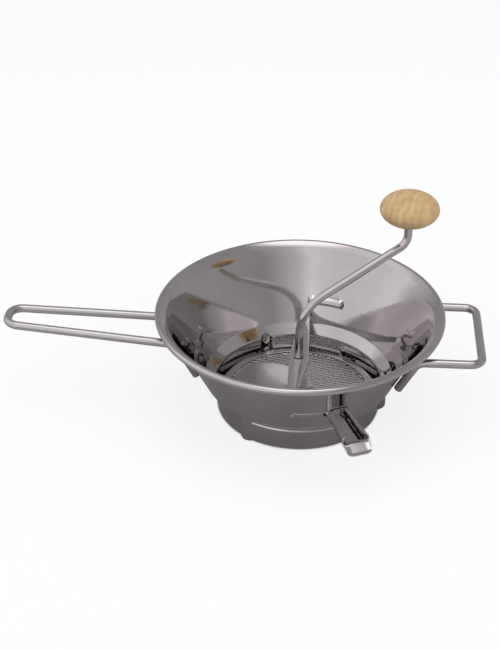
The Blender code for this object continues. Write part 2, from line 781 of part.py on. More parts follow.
def pin_hole(name):
    """Make the body of the cross hole through the hub and the rod."""
    radius = PIN_RADIUS + SEAT_GAP
    reach = hub_radius() + CUT_OVERRUN
    hole = cylinder(name, radius, -reach, reach, ROUND_STEPS // 2)
    lay = Matrix.Rotation(math.radians(90.0), 4, "Y")
    place = Matrix.Translation((0.0, 0.0, hub_low() + HUB_HEIGHT / 2)) @ Matrix.Rotation(PIN_AZIMUTH, 4, "Z")
    hole.data.transform(place @ lay)
    return hole


def make_hub(parent):
    """Turn the blade's hub and drill it for its pin."""
    outer = hub_radius()
    bore = WIRE_RADIUS + SEAT_GAP
    low = hub_low()
    high = low + HUB_HEIGHT
    edge = HUB_WALL / 4
    outline = [(outer - edge, high), (outer, high - edge), (outer, low), (bore, low), (bore, high)]
    hub = turned("blade_hub", outline, ROUND_STEPS)
    combine(hub, pin_hole("hub_drill"), "DIFFERENCE")
    return finish(hub, STEEL, parent)


def make_pin(parent):
    """Make the pin that ties the hub to the rod, flush with the hub."""
    outer = hub_radius() - SEAT_GAP
    pin = cylinder("hub_pin", PIN_RADIUS, -outer, outer, ROUND_STEPS // 2)
    lay = Matrix.Rotation(math.radians(90.0), 4, "Y")
    place = Matrix.Translation((0.0, 0.0, hub_low() + HUB_HEIGHT / 2)) @ Matrix.Rotation(PIN_AZIMUTH, 4, "Z")
    pin.data.transform(place @ lay)
    return finish(pin, STEEL, parent)


def blade_reach(azimuth):
    """Return the blade's outer radius: a spiral tail that opens to the full half-moon."""
    if azimuth >= BLADE_HEEL:
        return BLADE_RADIUS
    share = (azimuth - BLADE_TAIL) / (BLADE_HEEL - BLADE_TAIL)
    return BLADE_TAIL_REACH + (BLADE_RADIUS - BLADE_TAIL_REACH) * share ** BLADE_SPIRAL_POWER


def blade_height(azimuth):
    """Return the height of the blade's underside, which climbs from its heel to its leading edge."""
    low = sieve_top() + RUN_GAP
    if azimuth <= BLADE_HEEL:
        return low
    share = (azimuth - BLADE_HEEL) / (BLADE_LEAD - BLADE_HEEL)
    return low + BLADE_RISE * share ** BLADE_RISE_POWER


def make_blade(parent):
    """Sweep the climbing half-moon of the blade round its hub and give it its thickness."""
    bore = hub_radius() + SEAT_GAP
    stations, rings = 27, 5
    bm = bmesh.new()
    rows = []
    for i in range(stations):
        azimuth = BLADE_TAIL + (BLADE_LEAD - BLADE_TAIL) * i / (stations - 1)
        reach = blade_reach(azimuth)
        row = []
        for j in range(rings):
            radius = bore + (reach - bore) * j / (rings - 1)
            row.append(bm.verts.new((radius * math.cos(azimuth), radius * math.sin(azimuth),
                                     blade_height(azimuth))))
        rows.append(row)
    for low, high in zip(rows[:-1], rows[1:]):
        for j in range(rings - 1):
            bm.faces.new((low[j], low[j + 1], high[j + 1], high[j]))
    blade = object_from_bmesh("blade", bm)
    solid = blade.modifiers.new("sheet", "SOLIDIFY")
    solid.thickness = BLADE_THICKNESS
    solid.offset = 1.0
    solid.use_even_offset = False
    freeze(blade)
    return finish(weld(blade, SHEET / 100), SATIN, parent)


def washer(name, low, parent):
    """Turn one washer of the pressure spring, with its lower face at a height."""
    bore = WIRE_RADIUS + RUN_GAP
    outer = bore + WASHER_WIDTH
    high = low + WASHER_THICKNESS
    outline = [(outer, high), (outer, low), (bore, low), (bore, high)]
    return finish(turned(name, outline, ROUND_STEPS), STEEL, parent)


def lower_washer_low():
    """Return the height of the lower washer, on top of the hub."""
    return hub_low() + HUB_HEIGHT + SEAT_GAP


def upper_washer_low():
    """Return the height of the upper washer, under the crossbar."""
    return BAR_TOP - SHEET - SEAT_GAP - WASHER_THICKNESS


def spring_path():
    """Return the spring's helix between the washers, with a straight run at each end."""
    radius = WIRE_RADIUS + SPRING_CLEARANCE + SPRING_WIRE
    low = lower_washer_low() + WASHER_THICKNESS + SEAT_GAP + SPRING_WIRE
    high = upper_washer_low() - SEAT_GAP - SPRING_WIRE
    count = SPRING_TURNS * SPRING_POINTS
    path = []
    for i in range(count + 1):
        share = i / count
        angle = math.tau * SPRING_TURNS * share
        path.append(Vector((radius * math.cos(angle), radius * math.sin(angle), low + (high - low) * share)))
    start = path[0] + Vector((0.0, -2 * SPRING_WIRE, 0.0))
    end = path[-1] + Vector((0.0, 2 * SPRING_WIRE, 0.0))
    return [start, *path, end]


def least_gap(path, radius, turn_points):
    """Return the least gap between a coiled tube's turns, measured between its points."""
    least = math.inf
    for i, here in enumerate(path):
        for other in path[i + turn_points // 2:]:
            least = min(least, (here - other).length - 2 * radius)
    return least


def make_spring(parent):
    """Wind the pressure spring round the rod."""
    path = spring_path()
    print("pressure_spring least gap to itself, m:", round(least_gap(path, SPRING_WIRE, SPRING_POINTS), 5))
    return finish(wire("pressure_spring", path, SPRING_WIRE, resolution=1), STEEL, parent)


def arm_corner_z():
    """Return the height at which the sloped arm would meet the knob's axis."""
    return RIM_Z + CRANK_CORNER_RISE + CRANK_REACH * math.tan(CRANK_SLOPE)


def knob_centre_z():
    """Return the height of the knob's middle."""
    return arm_corner_z() + KNOB_RISE


def knob_flat_z():
    """Return the height of the flat under the knob."""
    share = KNOB_FLAT_RADIUS / KNOB_RADIUS
    return knob_centre_z() - KNOB_HALF_HEIGHT * math.sqrt(1.0 - share * share)


def head_low():
    """Return the height of the riveted head's lower face inside the knob."""
    return knob_flat_z() + BUSH_INSET + BUSH_HEIGHT + SEAT_GAP + KNOB_WASHER_THICKNESS + SEAT_GAP


def make_crank_rod(parent):
    """Bend the crank from one rod, with a turned tip and a riveted head."""
    low_corner = Vector((0.0, 0.0, RIM_Z + CRANK_CORNER_RISE))
    high_corner = Vector((CRANK_REACH, 0.0, arm_corner_z()))
    shoulder = hub_low() + SHEET
    step = SEAT_GAP
    start = Vector((0.0, 0.0, shoulder + step))
    neck = Vector((CRANK_REACH, 0.0, head_low()))
    bends = rounded_path([start, low_corner, high_corner, neck], [CRANK_LOWER_BEND, CRANK_UPPER_BEND])
    tip = [Vector((0.0, 0.0, TIP_END_Z)), Vector((0.0, 0.0, TIP_END_Z + step)), Vector((0.0, 0.0, shoulder))]
    head = [neck + Vector((0.0, 0.0, step)), neck + Vector((0.0, 0.0, HEAD_HEIGHT))]
    slim = TIP_RADIUS / WIRE_RADIUS
    nose = (TIP_RADIUS - step) / WIRE_RADIUS
    wide = (WIRE_RADIUS + HEAD_OVERHANG) / WIRE_RADIUS
    swell = [nose, slim, slim] + [1.0] * len(bends) + [wide, wide]
    rod = wire("crank_rod", tip + bends + head, WIRE_RADIUS, swell)
    combine(rod, pin_hole("rod_drill"), "DIFFERENCE")
    return finish(rod, STEEL, parent)


def knob_bore():
    """Return the radius of the knob's bore."""
    return WIRE_RADIUS + SEAT_GAP + BUSH_WALL + SEAT_GAP


def make_knob(parent):
    """Turn the wooden knob with its blind bore."""
    centre = knob_centre_z()
    flat = knob_flat_z()
    lowest = math.acos(-(centre - flat) / KNOB_HALF_HEIGHT)
    outline = []
    count = 13
    for i in range(count):
        angle = lowest * i / (count - 1)
        outline.append((KNOB_RADIUS * math.sin(angle), centre + KNOB_HALF_HEIGHT * math.cos(angle)))
    ceiling = head_low() + HEAD_HEIGHT + SHEET
    outline += [(knob_bore(), flat), (knob_bore(), ceiling), (0.0, ceiling)]
    knob = turned("knob", outline, 32, closed=False)
    return finish(knob, BEECH, parent)


def make_knob_bush(parent):
    """Turn the sleeve pressed into the knob."""
    bore = WIRE_RADIUS + SEAT_GAP
    outer = bore + BUSH_WALL
    low = knob_flat_z() + BUSH_INSET
    high = low + BUSH_HEIGHT
    outline = [(outer, high), (outer, low), (bore, low), (bore, high)]
    return finish(turned("knob_bush", outline, ROUND_STEPS), STEEL, parent)


def make_knob_washer(parent):
    """Turn the washer between the sleeve and the rod's riveted head."""
    bore = WIRE_RADIUS + SEAT_GAP
    outer = bore + BUSH_WALL
    low = knob_flat_z() + BUSH_INSET + BUSH_HEIGHT + SEAT_GAP
    high = low + KNOB_WASHER_THICKNESS
    outline = [(outer, high), (outer, low), (bore, low), (bore, high)]
    return finish(turned("knob_washer", outline, ROUND_STEPS), STEEL, parent)


def main():
    """Build the food mill in its own frame, its foot at height zero."""
    clear_scene()
    bowl_axis = frame_empty("bowl_axis", (BOWL_AXIS_X, 0.0, 0.0))
    crank_axis = frame_empty("crank_axis", (0.0, 0.0, 0.0), bowl_axis, CRANK_AZIMUTH)
    knob_axis = frame_empty("knob_axis", (CRANK_REACH, 0.0, 0.0), crank_axis)
    make_bowl(bowl_axis)
    make_handles(bowl_axis)
    make_hook("front_pot_hook", -1, bowl_axis)
    make_hook("rear_pot_hook", 1, bowl_axis)
    make_crossbar(bowl_axis)
    make_disc_ring(bowl_axis)
    make_sieve_plate(bowl_axis)
    make_eyelet(bowl_axis)
    washer("spring_upper_washer", upper_washer_low(), bowl_axis)
    washer("spring_lower_washer", lower_washer_low(), bowl_axis)
    make_spring(bowl_axis)
    make_crank_rod(crank_axis)
    make_hub(crank_axis)
    make_pin(crank_axis)
    make_blade(bowl_axis)
    make_knob(knob_axis)
    make_knob_bush(knob_axis)
    make_knob_washer(crank_axis).location = (CRANK_REACH, 0.0, 0.0)


main()
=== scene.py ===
"""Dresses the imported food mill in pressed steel, bent wire and turned beech, in a pale studio."""

from __future__ import annotations

import logging
import math
from dataclasses import dataclass, field
from enum import Enum
from typing import Callable, Iterable, Sequence

import bmesh
import bpy
from mathutils import Matrix, Vector

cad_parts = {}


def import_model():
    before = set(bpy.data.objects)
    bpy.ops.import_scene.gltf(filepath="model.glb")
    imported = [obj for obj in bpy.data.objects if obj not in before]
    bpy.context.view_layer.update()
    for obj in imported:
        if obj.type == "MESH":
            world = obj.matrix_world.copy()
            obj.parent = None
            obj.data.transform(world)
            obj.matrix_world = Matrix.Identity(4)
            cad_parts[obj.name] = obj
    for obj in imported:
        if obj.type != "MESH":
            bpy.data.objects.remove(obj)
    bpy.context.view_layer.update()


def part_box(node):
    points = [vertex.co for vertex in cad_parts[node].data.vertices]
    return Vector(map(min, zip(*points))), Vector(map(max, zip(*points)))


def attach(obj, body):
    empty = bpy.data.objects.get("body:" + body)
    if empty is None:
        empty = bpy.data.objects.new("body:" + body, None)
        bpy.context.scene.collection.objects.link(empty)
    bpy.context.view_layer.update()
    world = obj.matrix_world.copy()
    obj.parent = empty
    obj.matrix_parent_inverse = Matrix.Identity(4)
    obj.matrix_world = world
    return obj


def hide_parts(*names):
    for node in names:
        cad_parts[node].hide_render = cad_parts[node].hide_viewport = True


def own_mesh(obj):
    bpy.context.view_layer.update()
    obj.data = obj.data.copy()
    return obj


LOG = logging.getLogger("food_mill")
Profile = Sequence[tuple[float, float]]
MM = 0.001
MERGE = 0.000005
WHITE = (1.0, 1.0, 1.0, 1.0)


class Body(Enum):
    """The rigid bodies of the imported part."""

    MILL = "mill"
    DISC = "disc"
    SEAT = "spring_seat"
    CRANK = "crank"
    GRIP = "grip"


class Slot(Enum):
    """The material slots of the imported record."""

    POLISHED = "polished_steel"
    SATIN = "satin_steel"
    BEECH = "beech"


# ---- finishes ----------------------------------------------------------------


class Nodes:
    """A short hand for wiring the nodes of one material or world."""

    def __init__(self, owner: bpy.types.ID, output: str = "ShaderNodeOutputMaterial") -> None:
        """Empty the node tree and add its output.

        Args:
            owner: the material or world.
            output: the type name of its output node.
        """
        owner.use_nodes = True
        self.owner = owner
        self.tree = owner.node_tree
        self.tree.nodes.clear()
        self.output = self.tree.nodes.new(output)

    def add(self, kind: str, **settings: object) -> bpy.types.Node:
        """Add a node and set its properties and its sockets' values.

        Args:
            kind: the node's type name.
            settings: a property of the node, or a socket's value with its spaces as underscores.

        Returns:
            The new node.
        """
        node = self.tree.nodes.new(kind)
        for key, value in settings.items():
            if hasattr(node, key):
                setattr(node, key, value)
            else:
                node.inputs[key.replace("_", " ")].default_value = value
        return node

    def wire(self, source: bpy.types.NodeSocket, target: bpy.types.NodeSocket) -> None:
        """Link an output socket to an input socket."""
        self.tree.links.new(source, target)

    def ramp(self, source: bpy.types.NodeSocket, stops: Sequence[tuple[float, tuple]]) -> bpy.types.NodeSocket:
        """Map a value through a colour ramp.

        Args:
            source: the value's socket.
            stops: each stop's place and RGBA colour.

        Returns:
            The ramp's colour socket.
        """
        ramp = self.add("ShaderNodeValToRGB")
        elements = ramp.color_ramp.elements
        while len(elements) < len(stops):
            elements.new(0.5)
        for element, (place, colour) in zip(elements, stops):
            element.position = place
            element.color = colour
        self.wire(source, ramp.inputs["Fac"])
        return ramp.outputs["Color"]

    def mapped(self, place: bpy.types.NodeSocket, **settings: object) -> bpy.types.NodeSocket:
        """Return a place after a mapping with these settings."""
        node = self.add("ShaderNodeMapping", **settings)
        self.wire(place, node.inputs["Vector"])
        return node.outputs["Vector"]

    def noise(self, place: bpy.types.NodeSocket, **settings: float) -> bpy.types.NodeSocket:
        """Return the value of a noise with these settings."""
        node = self.add("ShaderNodeTexNoise", **settings)
        self.wire(place, node.inputs["Vector"])
        return node.outputs["Fac"]

    def maths(self, operation: str, one: bpy.types.NodeSocket, other: bpy.types.NodeSocket | float,
              **settings: object) -> bpy.types.NodeSocket:
        """Return the result of an operation on a value and another value or a number."""
        node = self.add("ShaderNodeMath", operation=operation, **settings)
        self.wire(one, node.inputs[0])
        if isinstance(other, float):
            node.inputs[1].default_value = other
        else:
            self.wire(other, node.inputs[1])
        return node.outputs["Value"]

    def span(self, source: bpy.types.NodeSocket, low: float, high: float) -> bpy.types.NodeSocket:
        """Map a value from 0..1 to low..high and return its socket."""
        node = self.add("ShaderNodeMapRange", clamp=True)
        node.inputs["To Min"].default_value = low
        node.inputs["To Max"].default_value = high
        self.wire(source, node.inputs["Value"])
        return node.outputs["Result"]


@dataclass(frozen=True)
class Steel:
    """Stainless steel, polished or satin, with the faint marks of its making."""

    name: str
    colour: tuple[float, float, float]
    roughness: float
    spread: float
    grain: tuple[float, float, float]
    grain_depth: float
    dent_depth: float = 0.0
    rings: bool = False
    centre_x: float = 0.0

    def make(self) -> bpy.types.Material:
        """Build the node material.

        Returns:
            The material, on Object coordinates.
        """
        web = Nodes(bpy.data.materials.new(self.name))
        coords = web.add("ShaderNodeTexCoord").outputs["Object"]
        place = web.mapped(coords, Location=(-self.centre_x, 0.0, 0.0))
        if self.rings:
            place = self._ring_place(web, place)
        grain = web.noise(web.mapped(place, Scale=self.grain), Scale=1.0, Detail=4.0, Roughness=0.6)
        cloud = web.noise(coords, Scale=34.0, Detail=3.0, Roughness=0.5)
        blend = web.add("ShaderNodeMix", data_type="FLOAT")
        blend.inputs["Factor"].default_value = 0.5
        web.wire(grain, blend.inputs["A"])
        web.wire(cloud, blend.inputs["B"])
        shader = web.add("ShaderNodeBsdfPrincipled", Metallic=1.0)
        low, high = self.roughness - self.spread, self.roughness + self.spread
        web.wire(web.span(blend.outputs["Result"], low, high), shader.inputs["Roughness"])
        dark = tuple(0.93 * part for part in self.colour)
        tint = web.ramp(cloud, [(0.35, (*dark, 1.0)), (0.65, (*self.colour, 1.0))])
        web.wire(tint, shader.inputs["Base Color"])
        bump = web.add("ShaderNodeBump", Strength=1.0, Distance=self.grain_depth)
        web.wire(grain, bump.inputs["Height"])
        last = bump
        if self.dent_depth:
            wave = web.noise(coords, Scale=22.0, Detail=1.0, Roughness=0.4)
            last = web.add("ShaderNodeBump", Strength=1.0, Distance=self.dent_depth)
            web.wire(wave, last.inputs["Height"])
            web.wire(bump.outputs["Normal"], last.inputs["Normal"])
        web.wire(last.outputs["Normal"], shader.inputs["Normal"])
        web.wire(shader.outputs["BSDF"], web.output.inputs["Surface"])
        return web.owner

    @staticmethod
    def _ring_place(web: Nodes, place: bpy.types.NodeSocket) -> bpy.types.NodeSocket:
        """Turn a place into (radius, height, turn), so that marks run round the axis."""
        split = web.add("ShaderNodeSeparateXYZ")
        web.wire(place, split.inputs["Vector"])
        flat = web.add("ShaderNodeCombineXYZ")
        web.wire(split.outputs["X"], flat.inputs["X"])
        web.wire(split.outputs["Y"], flat.inputs["Y"])
        radius = web.add("ShaderNodeVectorMath", operation="LENGTH")
        web.wire(flat.outputs["Vector"], radius.inputs[0])
        turn = web.maths("ARCTAN2", split.outputs["Y"], split.outputs["X"])
        joined = web.add("ShaderNodeCombineXYZ")
        web.wire(radius.outputs["Value"], joined.inputs["X"])
        web.wire(split.outputs["Z"], joined.inputs["Y"])
        web.wire(turn, joined.inputs["Z"])
        return joined.outputs["Vector"]


@dataclass(frozen=True)
class Beech:
    """Bare turned beech, its grain upright, with the small flecks of its rays."""

    name: str
    pale: tuple[float, float, float]
    deep: tuple[float, float, float]
    fleck: tuple[float, float, float]

    def make(self) -> bpy.types.Material:
        """Build the node material.

        Returns:
            The material, on Object coordinates.
        """
        web = Nodes(bpy.data.materials.new(self.name))
        coords = web.add("ShaderNodeTexCoord").outputs["Object"]
        long_way = web.mapped(coords, Scale=(1.0, 1.0, 0.09), Rotation=(0.05, 0.12, 0.3))
        bands = web.noise(long_way, Scale=150.0, Detail=5.0, Roughness=0.62)
        rings = web.add("ShaderNodeTexWave", bands_direction="X", Scale=52.0, Distortion=5.0,
                        Detail=2.0, Detail_Scale=1.4)
        web.wire(long_way, rings.inputs["Vector"])
        flecks = web.add("ShaderNodeTexVoronoi", Scale=900.0, Randomness=1.0)
        web.wire(web.mapped(coords, Scale=(1.0, 1.0, 0.14)), flecks.inputs["Vector"])
        tone = web.ramp(bands, [(0.32, (*self.deep, 1.0)), (0.62, (*self.pale, 1.0))])
        ringed = web.add("ShaderNodeMix", data_type="RGBA", blend_type="MULTIPLY")
        ringed.inputs["Factor"].default_value = 0.35
        web.wire(tone, ringed.inputs["A"])
        shade = web.ramp(rings.outputs["Color"], [(0.2, (0.74, 0.66, 0.55, 1.0)), (0.8, WHITE)])
        web.wire(shade, ringed.inputs["B"])
        mask = web.ramp(flecks.outputs["Distance"], [(0.10, WHITE), (0.26, (0.0, 0.0, 0.0, 1.0))])
        speck = web.add("ShaderNodeMix", data_type="RGBA")
        web.wire(ringed.outputs["Result"], speck.inputs["A"])
        speck.inputs["B"].default_value = (*self.fleck, 1.0)
        web.wire(web.maths("MULTIPLY", mask, 0.45), speck.inputs["Factor"])
        shader = web.add("ShaderNodeBsdfPrincipled")
        web.wire(speck.outputs["Result"], shader.inputs["Base Color"])
        web.wire(web.span(bands, 0.42, 0.58), shader.inputs["Roughness"])
        bump = web.add("ShaderNodeBump", Strength=0.6, Distance=0.00012)
        web.wire(bands, bump.inputs["Height"])
        web.wire(bump.outputs["Normal"], shader.inputs["Normal"])
        web.wire(shader.outputs["BSDF"], web.output.inputs["Surface"])
        return web.owner


@dataclass(frozen=True)
class PaleFloor:
    """A pale studio floor: white to the camera, dark inside the skirt, its shadow kept; glossy rays see it in a darker
    grey, painted shade for the bowl's shadow on the floor as the steel reflects it.
    """

    name: str
    colour: tuple[float, float, float]
    glow: float
    gloss_shade_colour: tuple[float, float, float]
    axis_x: float
    skirt: float = 69.2 * MM

    def make(self) -> bpy.types.Material:
        """Build the node material.

        Returns:
            The material.
        """
        web = Nodes(bpy.data.materials.new(self.name))
        coords = web.add("ShaderNodeTexCoord").outputs["Object"]
        noise = web.noise(coords, Scale=3.0, Detail=2.0)
        near = tuple(0.995 * part for part in self.colour)
        tint = web.ramp(noise, [(0.3, (*near, 1.0)), (0.7, (*self.colour, 1.0))])
        path = web.add("ShaderNodeLightPath")
        # Glossy rays get the darker gloss colour: painted shade standing in for the floor's shadow under the bowl, as
        # the steel reflects it.
        seen = web.add("ShaderNodeMix", data_type="RGBA")
        web.wire(path.outputs["Is Glossy Ray"], seen.inputs["Factor"])
        web.wire(tint, seen.inputs["A"])
        seen.inputs["B"].default_value = (*self.gloss_shade_colour, 1.0)
        diffuse = web.add("ShaderNodeBsdfDiffuse", Roughness=0.5)
        web.wire(seen.outputs["Result"], diffuse.inputs["Color"])
        white = web.add("ShaderNodeEmission", Color=WHITE, Strength=1.0)
        both = web.maths("MAXIMUM", path.outputs["Is Camera Ray"], path.outputs["Is Transmission Ray"])
        direct = web.maths("MULTIPLY", both, self.glow)
        masked = web.maths("MULTIPLY", direct, self._outside(web, coords), use_clamp=True)
        mix = web.add("ShaderNodeMixShader")
        web.wire(masked, mix.inputs["Fac"])
        web.wire(diffuse.outputs["BSDF"], mix.inputs[1])
        web.wire(white.outputs["Emission"], mix.inputs[2])
        web.wire(mix.outputs["Shader"], web.output.inputs["Surface"])
        return web.owner

    def _outside(self, web: Nodes, coords: bpy.types.NodeSocket) -> bpy.types.NodeSocket:
        """Return 1 outside the skirt's foot and 0 inside it."""
        length = web.add("ShaderNodeVectorMath", operation="LENGTH")
        web.wire(web.mapped(coords, Location=(-self.axis_x, 0.0, 0.0)), length.inputs[0])
        edge = web.add("ShaderNodeMapRange", clamp=True)
        edge.inputs["From Min"].default_value = self.skirt - MM
        edge.inputs["From Max"].default_value = self.skirt + MM
        web.wire(length.outputs["Value"], edge.inputs["Value"])
        return edge.outputs["Result"]


# ---- lines and shapes --------------------------------------------------------


def fillet(before: Vector, corner: Vector, after: Vector, radius: float, steps: int) -> list[Vector]:
    """Round a corner of a line.

    Args:
        before: the point before the corner.
        corner: the corner itself.
        after: the point after it.
        radius: the fillet's radius.
        steps: the number of chords.

    Returns:
        The points of the arc.
    """
    back, ahead = (before - corner).normalized(), (after - corner).normalized()
    half = back.angle(ahead) / 2
    if radius <= 0.0 or half > math.radians(89.5):
        return [corner]
    reach = radius / math.tan(half)
    centre = corner + (back + ahead).normalized() * (radius / math.sin(half))
    first, last = corner + back * reach - centre, corner + ahead * reach - centre
    normal, sweep = first.cross(last).normalized(), first.angle(last)
    return [centre + Matrix.Rotation(sweep * i / steps, 3, normal) @ first for i in range(steps + 1)]


def rounded(corners: Sequence[Vector], radii: Sequence[float], steps: int = 8) -> list[Vector]:
    """Round every corner between a line's ends.

    Args:
        corners: the line's points.
        radii: one radius for each corner between the ends.
        steps: the chords of each fillet.

    Returns:
        The rounded line.
    """
    line = [corners[0]]
    for i, radius in enumerate(radii, start=1):
        line += fillet(corners[i - 1], corners[i], corners[i + 1], radius, steps)
    return line + [corners[-1]]


def rounded_profile(points: Profile, radii: Sequence[float], steps: int = 6) -> list[tuple[float, float]]:
    """Round a profile of (radius, height) points and return it in the same form."""
    line = rounded([Vector((r, 0.0, z)) for r, z in points], radii, steps)
    return [(point.x, point.z) for point in line]


def spaced(line: Profile, spacing: Callable[[float], float]) -> list[tuple[float, float]]:
    """Split a profile's runs so that none is longer than the spacing at its height.

    Args:
        line: (radius, height) points.
        spacing: gives the longest run allowed at a height.

    Returns:
        The denser profile.
    """
    dense = [line[0]]
    for (r0, z0), (r1, z1) in zip(line[:-1], line[1:]):
        length = math.hypot(r1 - r0, z1 - z0)
        count = max(1, math.ceil(length / spacing((z0 + z1) / 2)))
        dense += [(r0 + (r1 - r0) * i / count, z0 + (z1 - z0) * i / count) for i in range(1, count + 1)]
    return dense


def spun(profile: Profile, steps: int, closed: bool) -> bmesh.types.BMesh:
    """Spin a profile about the Z axis.

    Args:
        profile: (radius, height) points.
        steps: the number of steps in the full turn.
        closed: whether the profile's last point joins its first.

    Returns:
        The turned surface, its faces pointing out.
    """
    bm = bmesh.new()
    verts = [bm.verts.new((r, 0.0, z)) for r, z in profile]
    pairs = list(zip(verts[:-1], verts[1:]))
    if closed:
        pairs.append((verts[-1], verts[0]))
    edges = [bm.edges.new(pair) for pair in pairs]
    bmesh.ops.spin(bm, geom=verts + edges, cent=(0, 0, 0), axis=(0, 0, 1), angle=math.tau,
                   steps=steps, use_merge=True)
    bmesh.ops.remove_doubles(bm, verts=bm.verts, dist=MERGE)
    bmesh.ops.recalc_face_normals(bm, faces=bm.faces)
    return bm


def frames_along(path: Sequence[Vector]) -> list[Matrix]:
    """Return an untwisted frame at each point of a path, with its Z axis along the path."""
    frames: list[Matrix] = []
    tangent = (path[1] - path[0]).normalized()
    side = tangent.orthogonal().normalized()
    for i, place in enumerate(path):
        ahead = path[min(i + 1, len(path) - 1)] - place
        behind = place - path[max(i - 1, 0)]
        heading = (ahead.normalized() + behind.normalized()).normalized()
        side = (side - heading * side.dot(heading)).normalized()
        up = heading.cross(side)
        frame = Matrix((side, up, heading)).transposed().to_4x4()
        frame.translation = place
        frames.append(frame)
    return frames


def tube(path: Sequence[Vector], radii: Sequence[float], sides: int) -> bmesh.types.BMesh:
    """Carry a circle along a path and cap both ends.

    Args:
        path: the tube's middle line.
        radii: the tube's radius at each point.
        sides: the number of sides of its circle.

    Returns:
        The closed tube.
    """
    bm = bmesh.new()
    frames = frames_along(path)
    made = bmesh.ops.create_circle(bm, cap_ends=True, segments=sides, radius=1.0,
                                   matrix=frames[0] @ Matrix.Scale(radii[0], 4))
    ring = made["verts"]
    edges = list({edge for vert in ring for edge in vert.link_edges})
    for before, after, old, new in zip(frames[:-1], frames[1:], radii[:-1], radii[1:]):
        verts, edges = grow(bm, edges)
        move = after @ Matrix.Scale(new / old, 4) @ before.inverted()
        bmesh.ops.transform(bm, matrix=move, verts=verts)
    bmesh.ops.edgeloop_fill(bm, edges=edges)
    bmesh.ops.recalc_face_normals(bm, faces=bm.faces)
    return bm


def grow(bm: bmesh.types.BMesh, edges: Sequence[bmesh.types.BMEdge]) -> tuple[list, list]:
    """Extrude edges in place.

    Args:
        bm: the mesh.
        edges: the edges to extrude.

    Returns:
        The new points, and the new edges between them.
    """
    made = bmesh.ops.extrude_edge_only(bm, edges=list(edges))["geom"]
    verts = [part for part in made if isinstance(part, bmesh.types.BMVert)]
    known = set(verts)
    return verts, [part for part in made if isinstance(part, bmesh.types.BMEdge)
                   and all(vert in known for vert in part.verts)]


def bent_plate(outline: Sequence[tuple[float, float]], height: float) -> bmesh.types.BMesh:
    """Make one flat face from an outline at a height."""
    bm = bmesh.new()
    bm.faces.new([bm.verts.new((x, y, height)) for x, y in outline])
    return bm


@dataclass
class Mould:
    """Turns finished bmeshes into pieces of the mill, in the row's frame."""

    axis_x: float
    materials: dict[str, bpy.types.Material] = field(default_factory=dict)

    def piece(self, name: str, bm: bmesh.types.BMesh, body: Body, finish: str,
              nodes: Sequence[str], smooth: float = 35.0) -> bpy.types.Object:
        """Args:
            name: the piece's name.
            bm: its mesh about the bowl's axis, which is used up.
            body: the body that it rides on.
            finish: the name of its material.
            nodes: the CAD nodes that it stands for.
            smooth: the angle in degrees past which an edge is sharp.

        Returns:
            The new object, at the origin.
        """
        bmesh.ops.translate(bm, verts=bm.verts, vec=(self.axis_x, 0.0, 0.0))
        mesh = bpy.data.meshes.new(name)
        bm.to_mesh(mesh)
        bm.free()
        mesh.shade_smooth()
        mesh.set_sharp_from_angle(angle=math.radians(smooth))
        item = bpy.data.objects.new(name, mesh)
        bpy.context.scene.collection.objects.link(item)
        mesh.materials.append(self.materials[finish])
        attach(item, body.value)
        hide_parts(*nodes)
        LOG.info("%s: %d faces, rides on %s", name, len(mesh.polygons), body.value)
        return item


def add_sheet(item: bpy.types.Object, thickness: float, offset: float, edge: float = 0.0) -> None:
    """Give a surface its sheet thickness and, with an edge width, soft edges.

    Args:
        item: the object.
        thickness: the sheet's thickness.
        offset: the side on which the thickness lies, from -1 to 1.
        edge: the width of the rounded edges.
    """
    solid = item.modifiers.new("sheet", "SOLIDIFY")
    solid.thickness = thickness
    solid.offset = offset
    solid.use_even_offset = True
    if edge:
        soft = item.modifiers.new("edge", "BEVEL")
        soft.width = edge
        soft.segments = 3
        soft.limit_method = "ANGLE"
        soft.angle_limit = math.radians(50.0)


# ---- the mill ----------------------------------------------------------------


